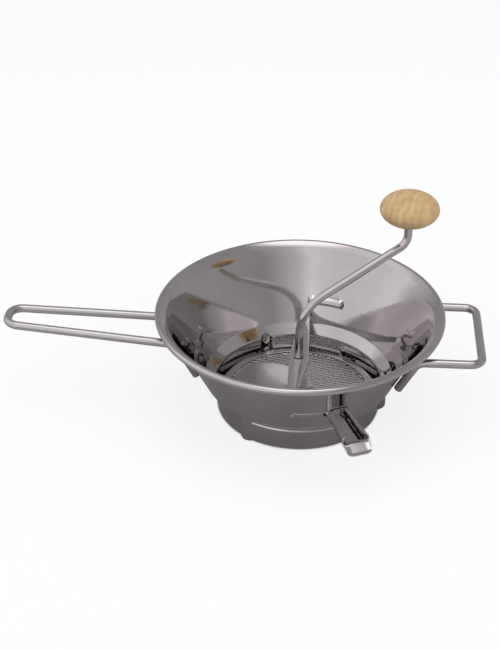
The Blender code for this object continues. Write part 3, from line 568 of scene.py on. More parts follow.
@dataclass
class Bowl:
    """The pressed bowl: rolled rim, cone, ledge, and a skirt with bayonet keyways and tracks."""

    sheet: float = 1.0 * MM
    foot: float = 69.2 * MM
    hem: float = 66.2 * MM
    skirt_top: float = 21.8 * MM
    ledge_foot: float = 71.9 * MM
    ledge_top: float = 79.8 * MM
    ledge_z: float = 29.5 * MM
    wall: tuple[tuple[float, float], ...] = ((93.2, 58.5), (107.9, 85.0), (110.9, 89.3))
    fillets: tuple[float, ...] = (0.6, 2.4, 2.6, 900.0, 60.0, 6.0)
    curl_start: float = math.radians(126.0)
    curl_sweep: float = math.radians(285.0)
    curl_steps: int = 18
    bead: float = 3.0 * MM
    bead_middle: float = 117.0 * MM
    bead_z: float = 90.5 * MM
    steps: int = 480
    key_azimuth: float = math.radians(116.0)
    key_radius: float = 5.4 * MM
    key_middle: float = 68.6 * MM
    key_floor: float = 2.0 * MM
    key_round: float = 2.4 * MM
    track_radius: float = 71.5 * MM
    track_low: float = 2.3 * MM
    track_high: float = 21.0 * MM
    track_sweep: float = math.radians(64.0)
    track_soft: float = 1.3 * MM
    dents: tuple[tuple[float, float], ...] = ((65.5, 87.0), (-92.5, -71.0))
    dent_z: float = 49.0 * MM
    dent_half: float = 3.6 * MM
    dent_depth: float = 3.9 * MM

    def inner_line(self) -> list[tuple[float, float]]:
        """Return the food side of the sheet, from the hem's edge to the end of the rim's curl."""
        t = self.sheet
        corners = [
            (self.hem, t), (self.foot - t, t), (self.ledge_foot - t, self.skirt_top + 0.5 * t),
            (self.ledge_top - 0.9 * t, self.ledge_z + 0.5 * t), *((r * MM, z * MM) for r, z in self.wall),
        ]
        curl = [self._on_bead(self.curl_start - self.curl_sweep * i / self.curl_steps)
                for i in range(self.curl_steps + 1)]
        line = rounded_profile([*corners, curl[0]], [r * MM for r in self.fillets])[:-1]
        return spaced(line, self._spacing) + curl

    def _on_bead(self, angle: float) -> tuple[float, float]:
        """Return the point of the rim's bead at an angle."""
        return self.bead_middle + self.bead * math.cos(angle), self.bead_z + self.bead * math.sin(angle)

    def _spacing(self, height: float) -> float:
        """Return the grid's spacing at a height: fine where the wall is pressed."""
        if height < self.ledge_z or abs(height - self.dent_z) < 2 * self.dent_half:
            return 0.8 * MM
        return 6.0 * MM

    def _key_reach(self, turn: float, height: float) -> float:
        """Return the radius of the nearest keyway's round wall, or zero outside it."""
        across = self.key_middle * math.sin(turn)
        if math.cos(turn) < 0.0 or abs(across) >= self.key_radius or height < self.key_floor:
            return 0.0
        reach = self.key_middle + math.sqrt(self.key_radius ** 2 - across ** 2)
        rise = height - self.key_floor
        if rise < self.key_round:
            reach -= self.key_round - math.sqrt(self.key_round ** 2 - (self.key_round - rise) ** 2)
        return reach

    def _track_share(self, turn: float, height: float) -> float:
        """Return how far a place lies in a track, from 0 to 1, with soft borders."""
        soft = self.track_soft
        along = min(1.0, max(0.0, (self.track_sweep - turn) * self.foot / soft))
        low = min(1.0, max(0.0, (height - self.track_low) / soft))
        high = min(1.0, max(0.0, (self.track_high - height) / soft))
        share = along * low * high
        return share * share * (3 - 2 * share)

    def _press(self, vert: bmesh.types.BMVert) -> None:
        """Move one point of the turned wall to where the presses leave it."""
        radius, height = math.hypot(vert.co.x, vert.co.y), vert.co.z
        azimuth = math.atan2(vert.co.y, vert.co.x)
        reach = radius
        if self.key_floor < height < self.ledge_z and radius < self.ledge_top - self.sheet:
            third = math.tau / 3
            turn = (azimuth - self.key_azimuth) % third
            near = turn - third if turn > third / 2 else turn
            if reach < self.track_radius and turn < self.track_sweep:
                reach += (self.track_radius - reach) * self._track_share(turn, height)
            reach = max(reach, self._key_reach(near, height))
        elif abs(height - self.dent_z) < self.dent_half:
            for start, end in self.dents:
                middle, half = math.radians(start + end) / 2, math.radians(end - start) / 2
                past = max(0.0, radius * (abs(azimuth - middle) - half) + self.dent_half)
                off = math.hypot(height - self.dent_z, past) / self.dent_half
                if off < 1.0:
                    reach -= self.dent_depth * (1.0 - off * off) ** 0.6
        if reach != radius:
            vert.co.x *= reach / radius
            vert.co.y *= reach / radius

    def build(self, mould: Mould) -> None:
        """Spin, press and thicken the bowl."""
        bm = spun(self.inner_line(), self.steps, closed=False)
        for vert in bm.verts:
            self._press(vert)
        bmesh.ops.recalc_face_normals(bm, faces=bm.faces)
        probe = max(bm.faces, key=lambda face: face.calc_center_median().z)
        if probe.normal.z < 0:
            bmesh.ops.reverse_faces(bm, faces=bm.faces)
        item = mould.piece("pressed_bowl", bm, Body.MILL, "mirror_steel", ["bowl"], 40.0)
        add_sheet(item, self.sheet, -1.0)


@dataclass
class WireHandles:
    """The two wire handles, bent up the cone and out into their loops."""

    radius: float = 3.5 * MM
    cone_radius: float = 79.8 * MM
    cone_z: float = 29.5 * MM
    slope: float = math.atan2(28.7, 55.0)
    gap: float = 0.3 * MM
    bend: float = 9.5 * MM
    sides: int = 28

    def _stand(self, height: float) -> float:
        """Return the wire's radius from the bowl's axis at its own height on the cone."""
        off = self.radius + self.gap
        wall_z = height + off * math.sin(self.slope)
        wall = self.cone_radius + (wall_z - self.cone_z) * math.tan(self.slope)
        return wall + off * math.cos(self.slope)

    def _loop(self, side: int, root: tuple[float, float], tip: tuple[float, float, float],
              foot_z: float, corner: float) -> list[Vector]:
        """Return the middle line of one handle.

        Args:
            side: +1 or -1 along X.
            root: the half width and height where a leg turns down the cone.
            tip: the reach, half width and height of the loop's corners.
            foot_z: the height of the legs' lower ends.
            corner: the radius of the loop's corners.

        Returns:
            The rounded line.
        """
        half_width, height = root
        reach = self._stand(height)
        azimuth = math.asin(half_width / reach)
        low = self._stand(foot_z)
        half = [Vector((low * math.cos(azimuth), low * math.sin(azimuth), foot_z)),
                Vector((reach * math.cos(azimuth), half_width, height)), Vector(tip)]
        other = [Vector((p.x, -p.y, p.z)) for p in half[::-1]]
        corners = [Vector((side * p.x, p.y, p.z)) for p in half + other]
        return rounded(corners, [self.bend, corner, corner, self.bend], 12)

    def build(self, mould: Mould) -> None:
        """Bend both handles."""
        long_loop = self._loop(-1, (20.9 * MM, 66.7 * MM), (245.5 * MM, 13.2 * MM, 75.6 * MM), 34.5 * MM, 11.0 * MM)
        short_loop = self._loop(1, (43.8 * MM, 72.9 * MM), (149.0 * MM, 43.8 * MM, 72.9 * MM), 42.0 * MM, 10.0 * MM)
        for name, node, line, slot, finish in (
                ("long_wire_handle", "long_handle", long_loop, Slot.SATIN, "satin_wire"),
                ("short_wire_handle", "short_handle", short_loop, Slot.POLISHED, "wire_steel")):
            path, radii = self._rounded_ends(line)
            mould.piece(name, tube(path, radii, self.sides), Body.MILL, finish, [node], 60.0)

    def _rounded_ends(self, line: Sequence[Vector]) -> tuple[list[Vector], list[float]]:
        """Add the small round of each cut end, and return the path and its radii."""
        edge = 0.6 * MM
        out = (line[0] - line[1]).normalized()
        end = (line[-1] - line[-2]).normalized()
        path = [line[0], line[0] - out * edge, *line[1:-1], line[-1] - end * edge, line[-1]]
        radii = [self.radius - edge, *[self.radius] * (len(path) - 2), self.radius - edge]
        return path, radii


@dataclass
class PotHooks:
    """The two folded hooks that rest on a pot's rim: a curled channel, its tab and its dropped lip."""

    azimuth: float = math.radians(67.6)
    floor_z: float = 46.5 * MM
    sheet: float = 1.0 * MM
    root: float = 88.97 * MM
    root_half: float = 9.6 * MM
    half_width: float = 10.9 * MM
    lobe: float = 0.6 * MM
    lip_half: float = 10.5 * MM
    wall: float = 2.3 * MM
    curl: float = 4.7 * MM
    curl_sweep: float = math.radians(95.0)
    curl_steps: int = 6
    fold: float = 1.2 * MM
    length: float = 38.5 * MM
    lip: float = 11.5 * MM
    lip_drop: float = 4.9 * MM
    corner: float = 4.2 * MM
    lobe_length: float = 5.0 * MM
    curl_end: float = 4.6 * MM
    curl_round: float = 4.0 * MM
    tab_half: float = 5.6 * MM
    tab_height: float = 8.5 * MM

    def _half(self, reach: float) -> float:
        """Return the half width of the hook at a reach, with the round corners of its lip."""
        bend, tip = self.root + self.length, self.root + self.length + self.lip
        if reach <= bend:
            share = (reach - self.root) / self.length
            near = max(0.0, 1.0 - (bend - reach) / self.lobe_length)
            return self.root_half + (self.half_width - self.root_half) * share + self.lobe * near * near
        width = self.half_width + self.lobe
        share = min(1.0, (reach - bend) / (tip - self.corner - bend))
        width += (self.lip_half - width) * share
        into = max(0.0, reach - (tip - self.corner)) / self.corner
        return width - self.corner * (1.0 - math.sqrt(max(0.0, 1.0 - into * into)))

    def _curl_share(self, reach: float) -> float:
        """Return how much of the curl is left at a reach: all of it up to the round end of each side."""
        into = (reach - (self.root + self.length - self.curl_end)) / self.curl_round
        return math.sqrt(max(0.0, 1.0 - min(1.0, max(0.0, into)) ** 2))

    def _floor(self) -> bmesh.types.BMesh:
        """Lay the flat floor of the channel and its lip."""
        bend, tip = self.root + self.length, self.root + self.length + self.lip
        reaches = [self.root, self.root + 6.0 * MM, self.root + 20.0 * MM]
        reaches += [bend - self.lobe_length + i * MM for i in range(10)]
        reaches += [tip - self.corner * math.cos(math.radians(15.0 * i)) for i in range(1, 7)]
        bm = bmesh.new()
        rows = []
        for reach in reaches:
            half, inner = self._half(reach), min(self.tab_half, 0.6 * self._half(reach))
            rows.append([bm.verts.new((reach, y, self.floor_z)) for y in (-half, -inner, inner, half)])
        for low, high in zip(rows[:-1], rows[1:]):
            for j in range(3):
                bm.faces.new((low[j], low[j + 1], high[j + 1], high[j]))
        return bm

    def _surface(self) -> bmesh.types.BMesh:
        """Fold the outer face of the hook up from its floor."""
        bm = self._floor()
        at_root = [e for e in bm.edges if all(abs(v.co.x - self.root) < MERGE for v in e.verts)]
        tab = [e for e in at_root if all(abs(v.co.y) < self.tab_half + MERGE for v in e.verts)]
        rim = [e for e in bm.edges if e.is_boundary and e not in at_root]
        folds = list(rim)
        edges = self._raise(bm, rim, self.wall)
        for i in range(1, self.curl_steps + 1):
            verts, edges = grow(bm, edges)
            for vert in verts:
                turn = self.curl_sweep * i / self.curl_steps * self._curl_share(vert.co.x)
                side = math.copysign(1.0, vert.co.y)
                width = self._half(vert.co.x)
                if turn > 0.0:
                    vert.co.y = side * (width - self.curl + self.curl * math.cos(turn))
                    vert.co.z = self.floor_z + self.wall + self.curl * math.sin(turn)
        self._raise(bm, tab, self.tab_height)
        folds += tab
        bmesh.ops.remove_doubles(bm, verts=bm.verts, dist=MERGE)
        bmesh.ops.dissolve_degenerate(bm, dist=MERGE, edges=bm.edges)
        self._bend(bm)
        folds = [edge for edge in folds if edge.is_valid]
        bmesh.ops.bevel(bm, geom=folds, offset=self.fold, segments=4, affect="EDGES", profile=0.5, material=-1,
                        clamp_overlap=True)
        bmesh.ops.recalc_face_normals(bm, faces=bm.faces)
        floor = max(bm.faces, key=lambda face: face.calc_area())
        if floor.normal.z > 0:
            bmesh.ops.reverse_faces(bm, faces=bm.faces)
        return bm

    @staticmethod
    def _raise(bm: bmesh.types.BMesh, edges: Sequence[bmesh.types.BMEdge], height: float) -> list:
        """Extrude edges straight up and return the new upper edges."""
        verts, upper = grow(bm, edges)
        bmesh.ops.translate(bm, verts=verts, vec=(0.0, 0.0, height))
        return upper

    def _bend(self, bm: bmesh.types.BMesh) -> None:
        """Fit the root to the cone and drop the lip past its bend."""
        bend = self.root + self.length
        for vert in bm.verts:
            reach, rise = vert.co.x, vert.co.z - self.floor_z
            if abs(reach - self.root) < MERGE:
                wall = self.root + rise * math.tan(WireHandles.slope)
                vert.co.x = math.sqrt(wall ** 2 - vert.co.y ** 2)
            vert.co.z -= self.lip_drop * max(0.0, reach - bend) / self.lip

    def build(self, mould: Mould) -> None:
        """Make the front and the rear hook."""
        for name, side in (("front_pot_hook", -1), ("rear_pot_hook", 1)):
            bm = self._surface()
            turn = Matrix.Rotation(side * self.azimuth, 3, "Z")
            bmesh.ops.rotate(bm, verts=bm.verts, cent=(0, 0, 0), matrix=turn)
            item = mould.piece("folded_" + name, bm, Body.MILL, "wire_steel", [name], 50.0)
            add_sheet(item, self.sheet, -1.0, 0.3 * MM)


@dataclass
class Crossbar:
    """The folded bar across the bowl that carries the crank."""

    top: float = 45.4 * MM
    sheet: float = 1.0 * MM
    flange: float = 6.0 * MM
    corner: tuple[float, float] = (8.2 * MM, -3.1 * MM)
    tongue: tuple[float, float] = (2.4 * MM, 7.2 * MM)
    fold_end: float = 76.0 * MM
    reach: float = 86.6 * MM
    fold: float = 0.9 * MM
    hole: float = 4.3 * MM
    hole_sides: int = 48

    def build(self, mould: Mould) -> None:
        """Fold the bar about its shaft hole."""
        x, y = self.corner
        inner, outer = self.tongue
        nose = 1.4 * MM
        half = [(x, y), (outer, self.fold_end), (outer, self.reach - nose), (outer - nose, self.reach),
                (inner + nose, self.reach), (inner, self.reach - nose), (inner, self.fold_end)]
        bm = bent_plate(half + [(-a, -b) for a, b in half], self.top)
        rim = list(bm.edges)
        hole = bmesh.ops.create_circle(bm, segments=self.hole_sides, radius=self.hole,
                                       matrix=Matrix.Translation((0.0, 0.0, self.top)))
        ring = list({edge for vert in hole["verts"] for edge in vert.link_edges})
        bmesh.ops.delete(bm, geom=list(bm.faces), context="FACES_ONLY")
        bmesh.ops.triangle_fill(bm, use_beauty=True, use_dissolve=False, edges=rim + ring, normal=(0, 0, 1))
        folded = [edge for edge in rim if edge.is_valid
                  and all(abs(vert.co.y) < self.fold_end + MERGE for vert in edge.verts)
                  and abs(edge.verts[0].co.y - edge.verts[1].co.y) > self.hole]
        lower, _ = grow(bm, folded)
        bmesh.ops.translate(bm, verts=lower, vec=(0.0, 0.0, -self.flange))
        bmesh.ops.bevel(bm, geom=folded, offset=self.fold, segments=4, affect="EDGES", profile=0.5, material=-1,
                        clamp_overlap=True)
        bmesh.ops.recalc_face_normals(bm, faces=bm.faces)
        plate = max(bm.faces, key=lambda face: face.calc_area())
        if plate.normal.z < 0:
            bmesh.ops.reverse_faces(bm, faces=bm.faces)
        item = mould.piece("folded_crossbar", bm, Body.MILL, "bar_steel", ["crossbar"], 40.0)
        add_sheet(item, self.sheet, -1.0, 0.3 * MM)


@dataclass
class SieveDisc:
    """The locking disc: folded ring with its ears, and the finely drilled plate."""

    ring_top: float = 10.5 * MM
    outer: float = 67.8 * MM
    flange: float = 6.6 * MM
    foot: float = 1.3 * MM
    sheet: float = 1.0 * MM
    plate: float = 0.5 * MM
    hole: float = 0.85 * MM
    pitch: float = 2.9 * MM
    hole_sides: int = 10
    hub_clear: float = 8.0 * MM
    ear_half: float = 4.0 * MM
    ear_end: float = 71.2 * MM
    ear_low: float = 3.8 * MM
    ear_sheet: float = 1.5 * MM
    ear_azimuth: float = math.radians(116.0) + math.radians(64.0) - 5.3 / 71.2

    def _ring(self) -> bmesh.types.BMesh:
        """Spin the folded ring."""
        t, top, outer = self.sheet, self.ring_top, self.outer
        bore = outer - self.flange
        corners = [(bore, top - t), (bore, top), (outer, top), (outer, self.foot), (outer - t, self.foot),
                   (outer - t, top - t), (bore, top - t)]
        profile = rounded_profile(corners, [0.4 * MM, 1.3 * MM, 0.2 * MM, 0.2 * MM, 0.4 * MM])[:-1]
        return spun(profile, 192, closed=True)

    def _ear(self, bm: bmesh.types.BMesh, azimuth: float) -> None:
        """Add one bayonet ear to the ring's mesh."""
        made = bmesh.ops.create_cube(bm, size=1.0)["verts"]
        root = self.outer - 0.5 * self.sheet
        bmesh.ops.scale(bm, verts=made, vec=(self.ear_end - root, 2 * self.ear_half, self.ear_sheet))
        middle = Vector(((self.ear_end + root) / 2, 0.0, self.ear_low + self.ear_sheet / 2))
        bmesh.ops.translate(bm, verts=made, vec=middle)
        edges = [e for e in {edge for v in made for edge in v.link_edges}
                 if all(v.co.x > middle.x for v in e.verts)]
        bevelled = bmesh.ops.bevel(bm, geom=edges, offset=0.6 * MM, segments=2, affect="EDGES", profile=0.5,
                                   material=-1, clamp_overlap=True)
        verts = {v for v in made if v.is_valid} | set(bevelled["verts"])
        bmesh.ops.rotate(bm, verts=list(verts), cent=(0, 0, 0), matrix=Matrix.Rotation(azimuth, 3, "Z"))

    def _places(self) -> Iterable[tuple[float, float]]:
        """Yield the centres of the plate's holes."""
        limit = self.outer - self.flange - 0.9 * MM
        rise = self.pitch * math.sin(math.radians(60.0))
        count = int(limit / rise) + 1
        turn = Matrix.Rotation(math.radians(17.0), 2)
        for row in range(-count, count + 1):
            for column in range(-count - 2, count + 3):
                place = turn @ Vector(((column + 0.5 * (row % 2)) * self.pitch, row * rise))
                if self.hub_clear <= place.length <= limit:
                    yield place.x, place.y

    def _plate(self) -> bmesh.types.BMesh:
        """Fill the plate between its edge, its bore and its holes, and thicken it."""
        bm = bmesh.new()
        top = self.ring_top - self.sheet - 0.3 * MM
        rims = [(0.0, 0.0, self.outer - self.sheet - 0.3 * MM, 192), (0.0, 0.0, 3.9 * MM, 48)]
        rims += [(x, y, self.hole, self.hole_sides) for x, y in self._places()]
        for x, y, radius, sides in rims:
            bmesh.ops.create_circle(bm, segments=sides, radius=radius, matrix=Matrix.Translation((x, y, top)))
        bmesh.ops.triangle_fill(bm, use_beauty=False, use_dissolve=False, edges=list(bm.edges), normal=(0, 0, 1))
        bmesh.ops.recalc_face_normals(bm, faces=bm.faces)
        if next(iter(bm.faces)).normal.z < 0:
            bmesh.ops.reverse_faces(bm, faces=bm.faces)
        return bm

    def build(self, mould: Mould) -> None:
        """Make the ring, the plate and the eyelet."""
        ring = self._ring()
        for i in range(3):
            self._ear(ring, self.ear_azimuth + math.tau * i / 3)
        mould.piece("folded_disc_ring", ring, Body.DISC, "disc_steel", ["disc_ring"])
        plate = mould.piece("drilled_sieve_plate", self._plate(), Body.DISC, "disc_steel",
                            ["sieve_plate"])
        add_sheet(plate, self.plate, -1.0)
        low = [(2.8, 9.2), (3.6, 9.2), (3.6, 7.9), (6.6, 7.9), (6.6, 7.1), (2.8, 7.1)]
        corners = [(r * MM, z * MM) for r, z in low]
        profile = rounded_profile([*corners, corners[0]], [0.3 * MM, 0.2 * MM, 0.2 * MM, 0.3 * MM, 0.5 * MM])[:-1]
        mould.piece("turned_eyelet", spun(profile, 64, closed=True), Body.DISC, "disc_steel",
                    ["disc_eyelet"])


@dataclass
class Blade:
    """The sloped half-moon that presses food through the sieve, on its hub and pin."""

    low: float = 9.6 * MM
    bore: float = 6.8 * MM
    reach: float = 58.0 * MM
    tail_reach: float = 14.8 * MM
    rise: float = 12.0 * MM
    tail: float = math.radians(30.0)
    heel: float = math.radians(135.0)
    lead: float = math.radians(290.0)
    spiral_power: float = 1.9
    rise_power: float = 1.25
    thickness: float = 1.2 * MM
    steps: int = 130

    def _outer(self, azimuth: float) -> float:
        """Return the blade's outer radius at an azimuth."""
        if azimuth >= self.heel:
            return self.reach
        share = max(0.0, (azimuth - self.tail) / (self.heel - self.tail))
        return self.tail_reach + (self.reach - self.tail_reach) * share ** self.spiral_power

    def _lift(self, azimuth: float) -> float:
        """Return how far the blade has climbed at an azimuth."""
        share = max(0.0, (azimuth - self.heel) / (self.lead - self.heel))
        return self.rise * share ** self.rise_power

    def build(self, mould: Mould) -> None:
        """Spin the blade, trim it to its spiral, and lift it into its slope."""
        bm = bmesh.new()
        line = [bm.verts.new((self.bore + (self.reach - self.bore) * i / 24, 0.0, self.low)) for i in range(25)]
        edges = [bm.edges.new(pair) for pair in zip(line[:-1], line[1:])]
        bmesh.ops.rotate(bm, verts=line, cent=(0, 0, 0), matrix=Matrix.Rotation(self.tail, 3, "Z"))
        bmesh.ops.spin(bm, geom=line + edges, cent=(0, 0, 0), axis=(0, 0, 1), angle=self.lead - self.tail,
                       steps=self.steps)
        for vert in bm.verts:
            azimuth = math.atan2(vert.co.y, vert.co.x) % math.tau
            radius = math.hypot(vert.co.x, vert.co.y)
            share = (radius - self.bore) / (self.reach - self.bore)
            wanted = self.bore + (self._outer(azimuth) - self.bore) * share
            vert.co.x *= wanted / radius
            vert.co.y *= wanted / radius
            vert.co.z += self._lift(azimuth)
        bmesh.ops.recalc_face_normals(bm, faces=bm.faces)
        if next(iter(bm.faces)).normal.z < 0:
            bmesh.ops.reverse_faces(bm, faces=bm.faces)
        item = mould.piece("pressing_blade", bm, Body.CRANK, "blade_steel", ["blade"], 50.0)
        add_sheet(item, self.thickness, 1.0, 0.3 * MM)
        self._hub(mould)

    def _hub(self, mould: Mould) -> None:
        """Turn the hub and its cross pin."""
        corners = [(3.8, 9.5), (6.5, 9.5), (6.5, 25.0), (3.8, 25.0), (3.8, 9.5)]
        profile = rounded_profile([(r * MM, z * MM) for r, z in corners],
                                  [0.3 * MM, 0.9 * MM, 0.3 * MM])[:-1]
        mould.piece("turned_blade_hub", spun(profile, 96, closed=True), Body.CRANK, "wire_steel",
                    ["blade_hub"])
        half, radius, edge = 6.2 * MM, 1.2 * MM, 0.3 * MM
        turn = Matrix.Rotation(math.radians(-50.0), 3, "Z")
        reach = (-half, -half + edge, half - edge, half)
        path = [turn @ Vector((x, 0.0, 17.25 * MM)) for x in reach]
        bm = tube(path, [radius - edge, radius, radius, radius - edge], 24)
        mould.piece("cross_pin", bm, Body.CRANK, "wire_steel", ["hub_pin"])


@dataclass
class Spring:
    """The pressure spring and its two washers round the rod."""

    mean: float = 5.4 * MM
    wire: float = 0.7 * MM
    low: float = 27.5 * MM
    high: float = 41.9 * MM
    turns: int = 5
    points: int = 28
    travel: float = 4.0 * MM

    def build(self, mould: Mould) -> None:
        """Wind the spring and turn the washers."""
        lead = 2 * self.wire
        count = self.turns * self.points
        path = []
        for i in range(count + 1):
            share = i / count
            angle = math.tau * self.turns * share
            path.append(Vector((self.mean * math.cos(angle), self.mean * math.sin(angle),
                                self.low + (self.high - self.low) * share)))
        path = [path[0] - Vector((0, lead, 0)), *path, path[-1] + Vector((0, lead, 0))]
        wound = mould.piece("wound_spring", tube(path, [self.wire] * len(path), 12), Body.MILL,
                            "wire_steel", ["pressure_spring"], 60.0)
        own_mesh(wound)
        for name, node, body, base in (("upper_washer", "spring_upper_washer", Body.MILL, 42.9 * MM),
                                       ("lower_washer", "spring_lower_washer", Body.SEAT, 25.3 * MM)):
            top = base + 1.2 * MM
            corners = [(3.9 * MM, base), (6.5 * MM, base), (6.5 * MM, top), (3.9 * MM, top), (3.9 * MM, base)]
            profile = rounded_profile(corners, [0.25 * MM] * 3)[:-1]
            mould.piece(name, spun(profile, 72, closed=True), body, "wire_steel", [node])


@dataclass
class Crank:
    """The cranked rod, its turned beech knob and the sleeve inside it."""

    radius: float = 3.5 * MM
    tip: float = 2.5 * MM
    azimuth: float = math.radians(25.0)
    slope: float = math.radians(25.0)
    reach: float = 96.2 * MM
    corner_z: float = 91.1 * MM
    lower_bend: float = 36.0 * MM
    upper_bend: float = 12.0 * MM
    tip_z: float = 4.5 * MM
    shoulder_z: float = 10.5 * MM
    knob_rise: float = 31.7 * MM
    knob_radius: float = 24.6 * MM
    knob_half: float = 13.8 * MM
    knob_flat: float = 7.8 * MM
    bush_gap: float = 0.5 * MM
    bush_length: float = 13.5 * MM
    bush_above: float = 1.6 * MM

    def _knob_z(self) -> float:
        """Return the height of the knob's middle."""
        return self.corner_z + self.reach * math.tan(self.slope) + self.knob_rise

    def _flat_z(self) -> float:
        """Return the height of the flat under the knob."""
        return self._knob_z() - self.knob_half * math.sqrt(1.0 - (self.knob_flat / self.knob_radius) ** 2)

    def _to_place(self, bm: bmesh.types.BMesh, at_knob: bool) -> bmesh.types.BMesh:
        """Turn a mesh to the crank's azimuth, from the knob's axis if it was made on it."""
        if at_knob:
            bmesh.ops.translate(bm, verts=bm.verts, vec=(self.reach, 0.0, 0.0))
        bmesh.ops.rotate(bm, verts=bm.verts, cent=(0, 0, 0), matrix=Matrix.Rotation(self.azimuth, 3, "Z"))
        return bm

    def _rod(self) -> bmesh.types.BMesh:
        """Bend the rod, with its slim tip and its riveted head."""
        edge = 0.5 * MM
        high = self.corner_z + self.reach * math.tan(self.slope)
        neck = self._flat_z() + self.bush_gap + self.bush_length + self.bush_above
        start = Vector((0.0, 0.0, self.shoulder_z + edge))
        line = rounded([start, Vector((0, 0, self.corner_z)), Vector((self.reach, 0, high)),
                        Vector((self.reach, 0, neck))], [self.lower_bend, self.upper_bend], 18)
        slim = [Vector((0, 0, z)) for z in (self.tip_z, self.tip_z + edge, self.shoulder_z)]
        head = [Vector((self.reach, 0, neck + dz)) for dz in (0.3 * MM, 1.2 * MM, 1.6 * MM)]
        radii = [self.tip - edge, self.tip, self.tip, *[self.radius] * len(line),
                 self.radius + 1.3 * MM, self.radius + 1.3 * MM, self.radius + 0.6 * MM]
        return tube([*slim, *line, *head], radii, 36)

    def build(self, mould: Mould) -> None:
        """Make the rod, the knob, its sleeve and its washer."""
        mould.piece("bent_crank_rod", self._to_place(self._rod(), False), Body.CRANK, "wire_steel",
                    ["crank_rod"], 60.0)
        flat = self._flat_z()
        rim = [(math.sin(a) * self.knob_radius, self._knob_z() + math.cos(a) * self.knob_half)
               for a in (i * self._lowest() / 48 for i in range(49))]
        bore = 5.7 * MM
        ceiling = flat + self.bush_gap + self.bush_length + self.bush_above + 2.6 * MM
        knob = spun([*rim, (bore + 0.4 * MM, flat), (bore, flat + 0.4 * MM), (bore, ceiling), (0.0, ceiling)], 96,
                    closed=False)
        mould.piece("turned_knob", self._to_place(knob, True), Body.GRIP, "beech_wood", ["knob"], 40.0)
        for name, node, body, low, tall in (
                ("knob_sleeve", "knob_bush", Body.GRIP, flat + self.bush_gap, self.bush_length),
                ("knob_end_washer", "knob_washer", Body.CRANK, flat + 14.3 * MM, 1.0 * MM)):
            bore, side, top = 3.8 * MM, 5.4 * MM, low + tall
            corners = [(bore, low), (side, low), (side, top), (bore, top), (bore, low)]
            profile = rounded_profile(corners, [0.2 * MM] * 3)[:-1]
            mould.piece(name, self._to_place(spun(profile, 64, closed=True), True), body,
                        "wire_steel", [node])

    def _lowest(self) -> float:
        """Return the angle from the knob's pole at which its flat begins."""
        return math.pi - math.asin(self.knob_flat / self.knob_radius)


# ---- studio ------------------------------------------------------------------


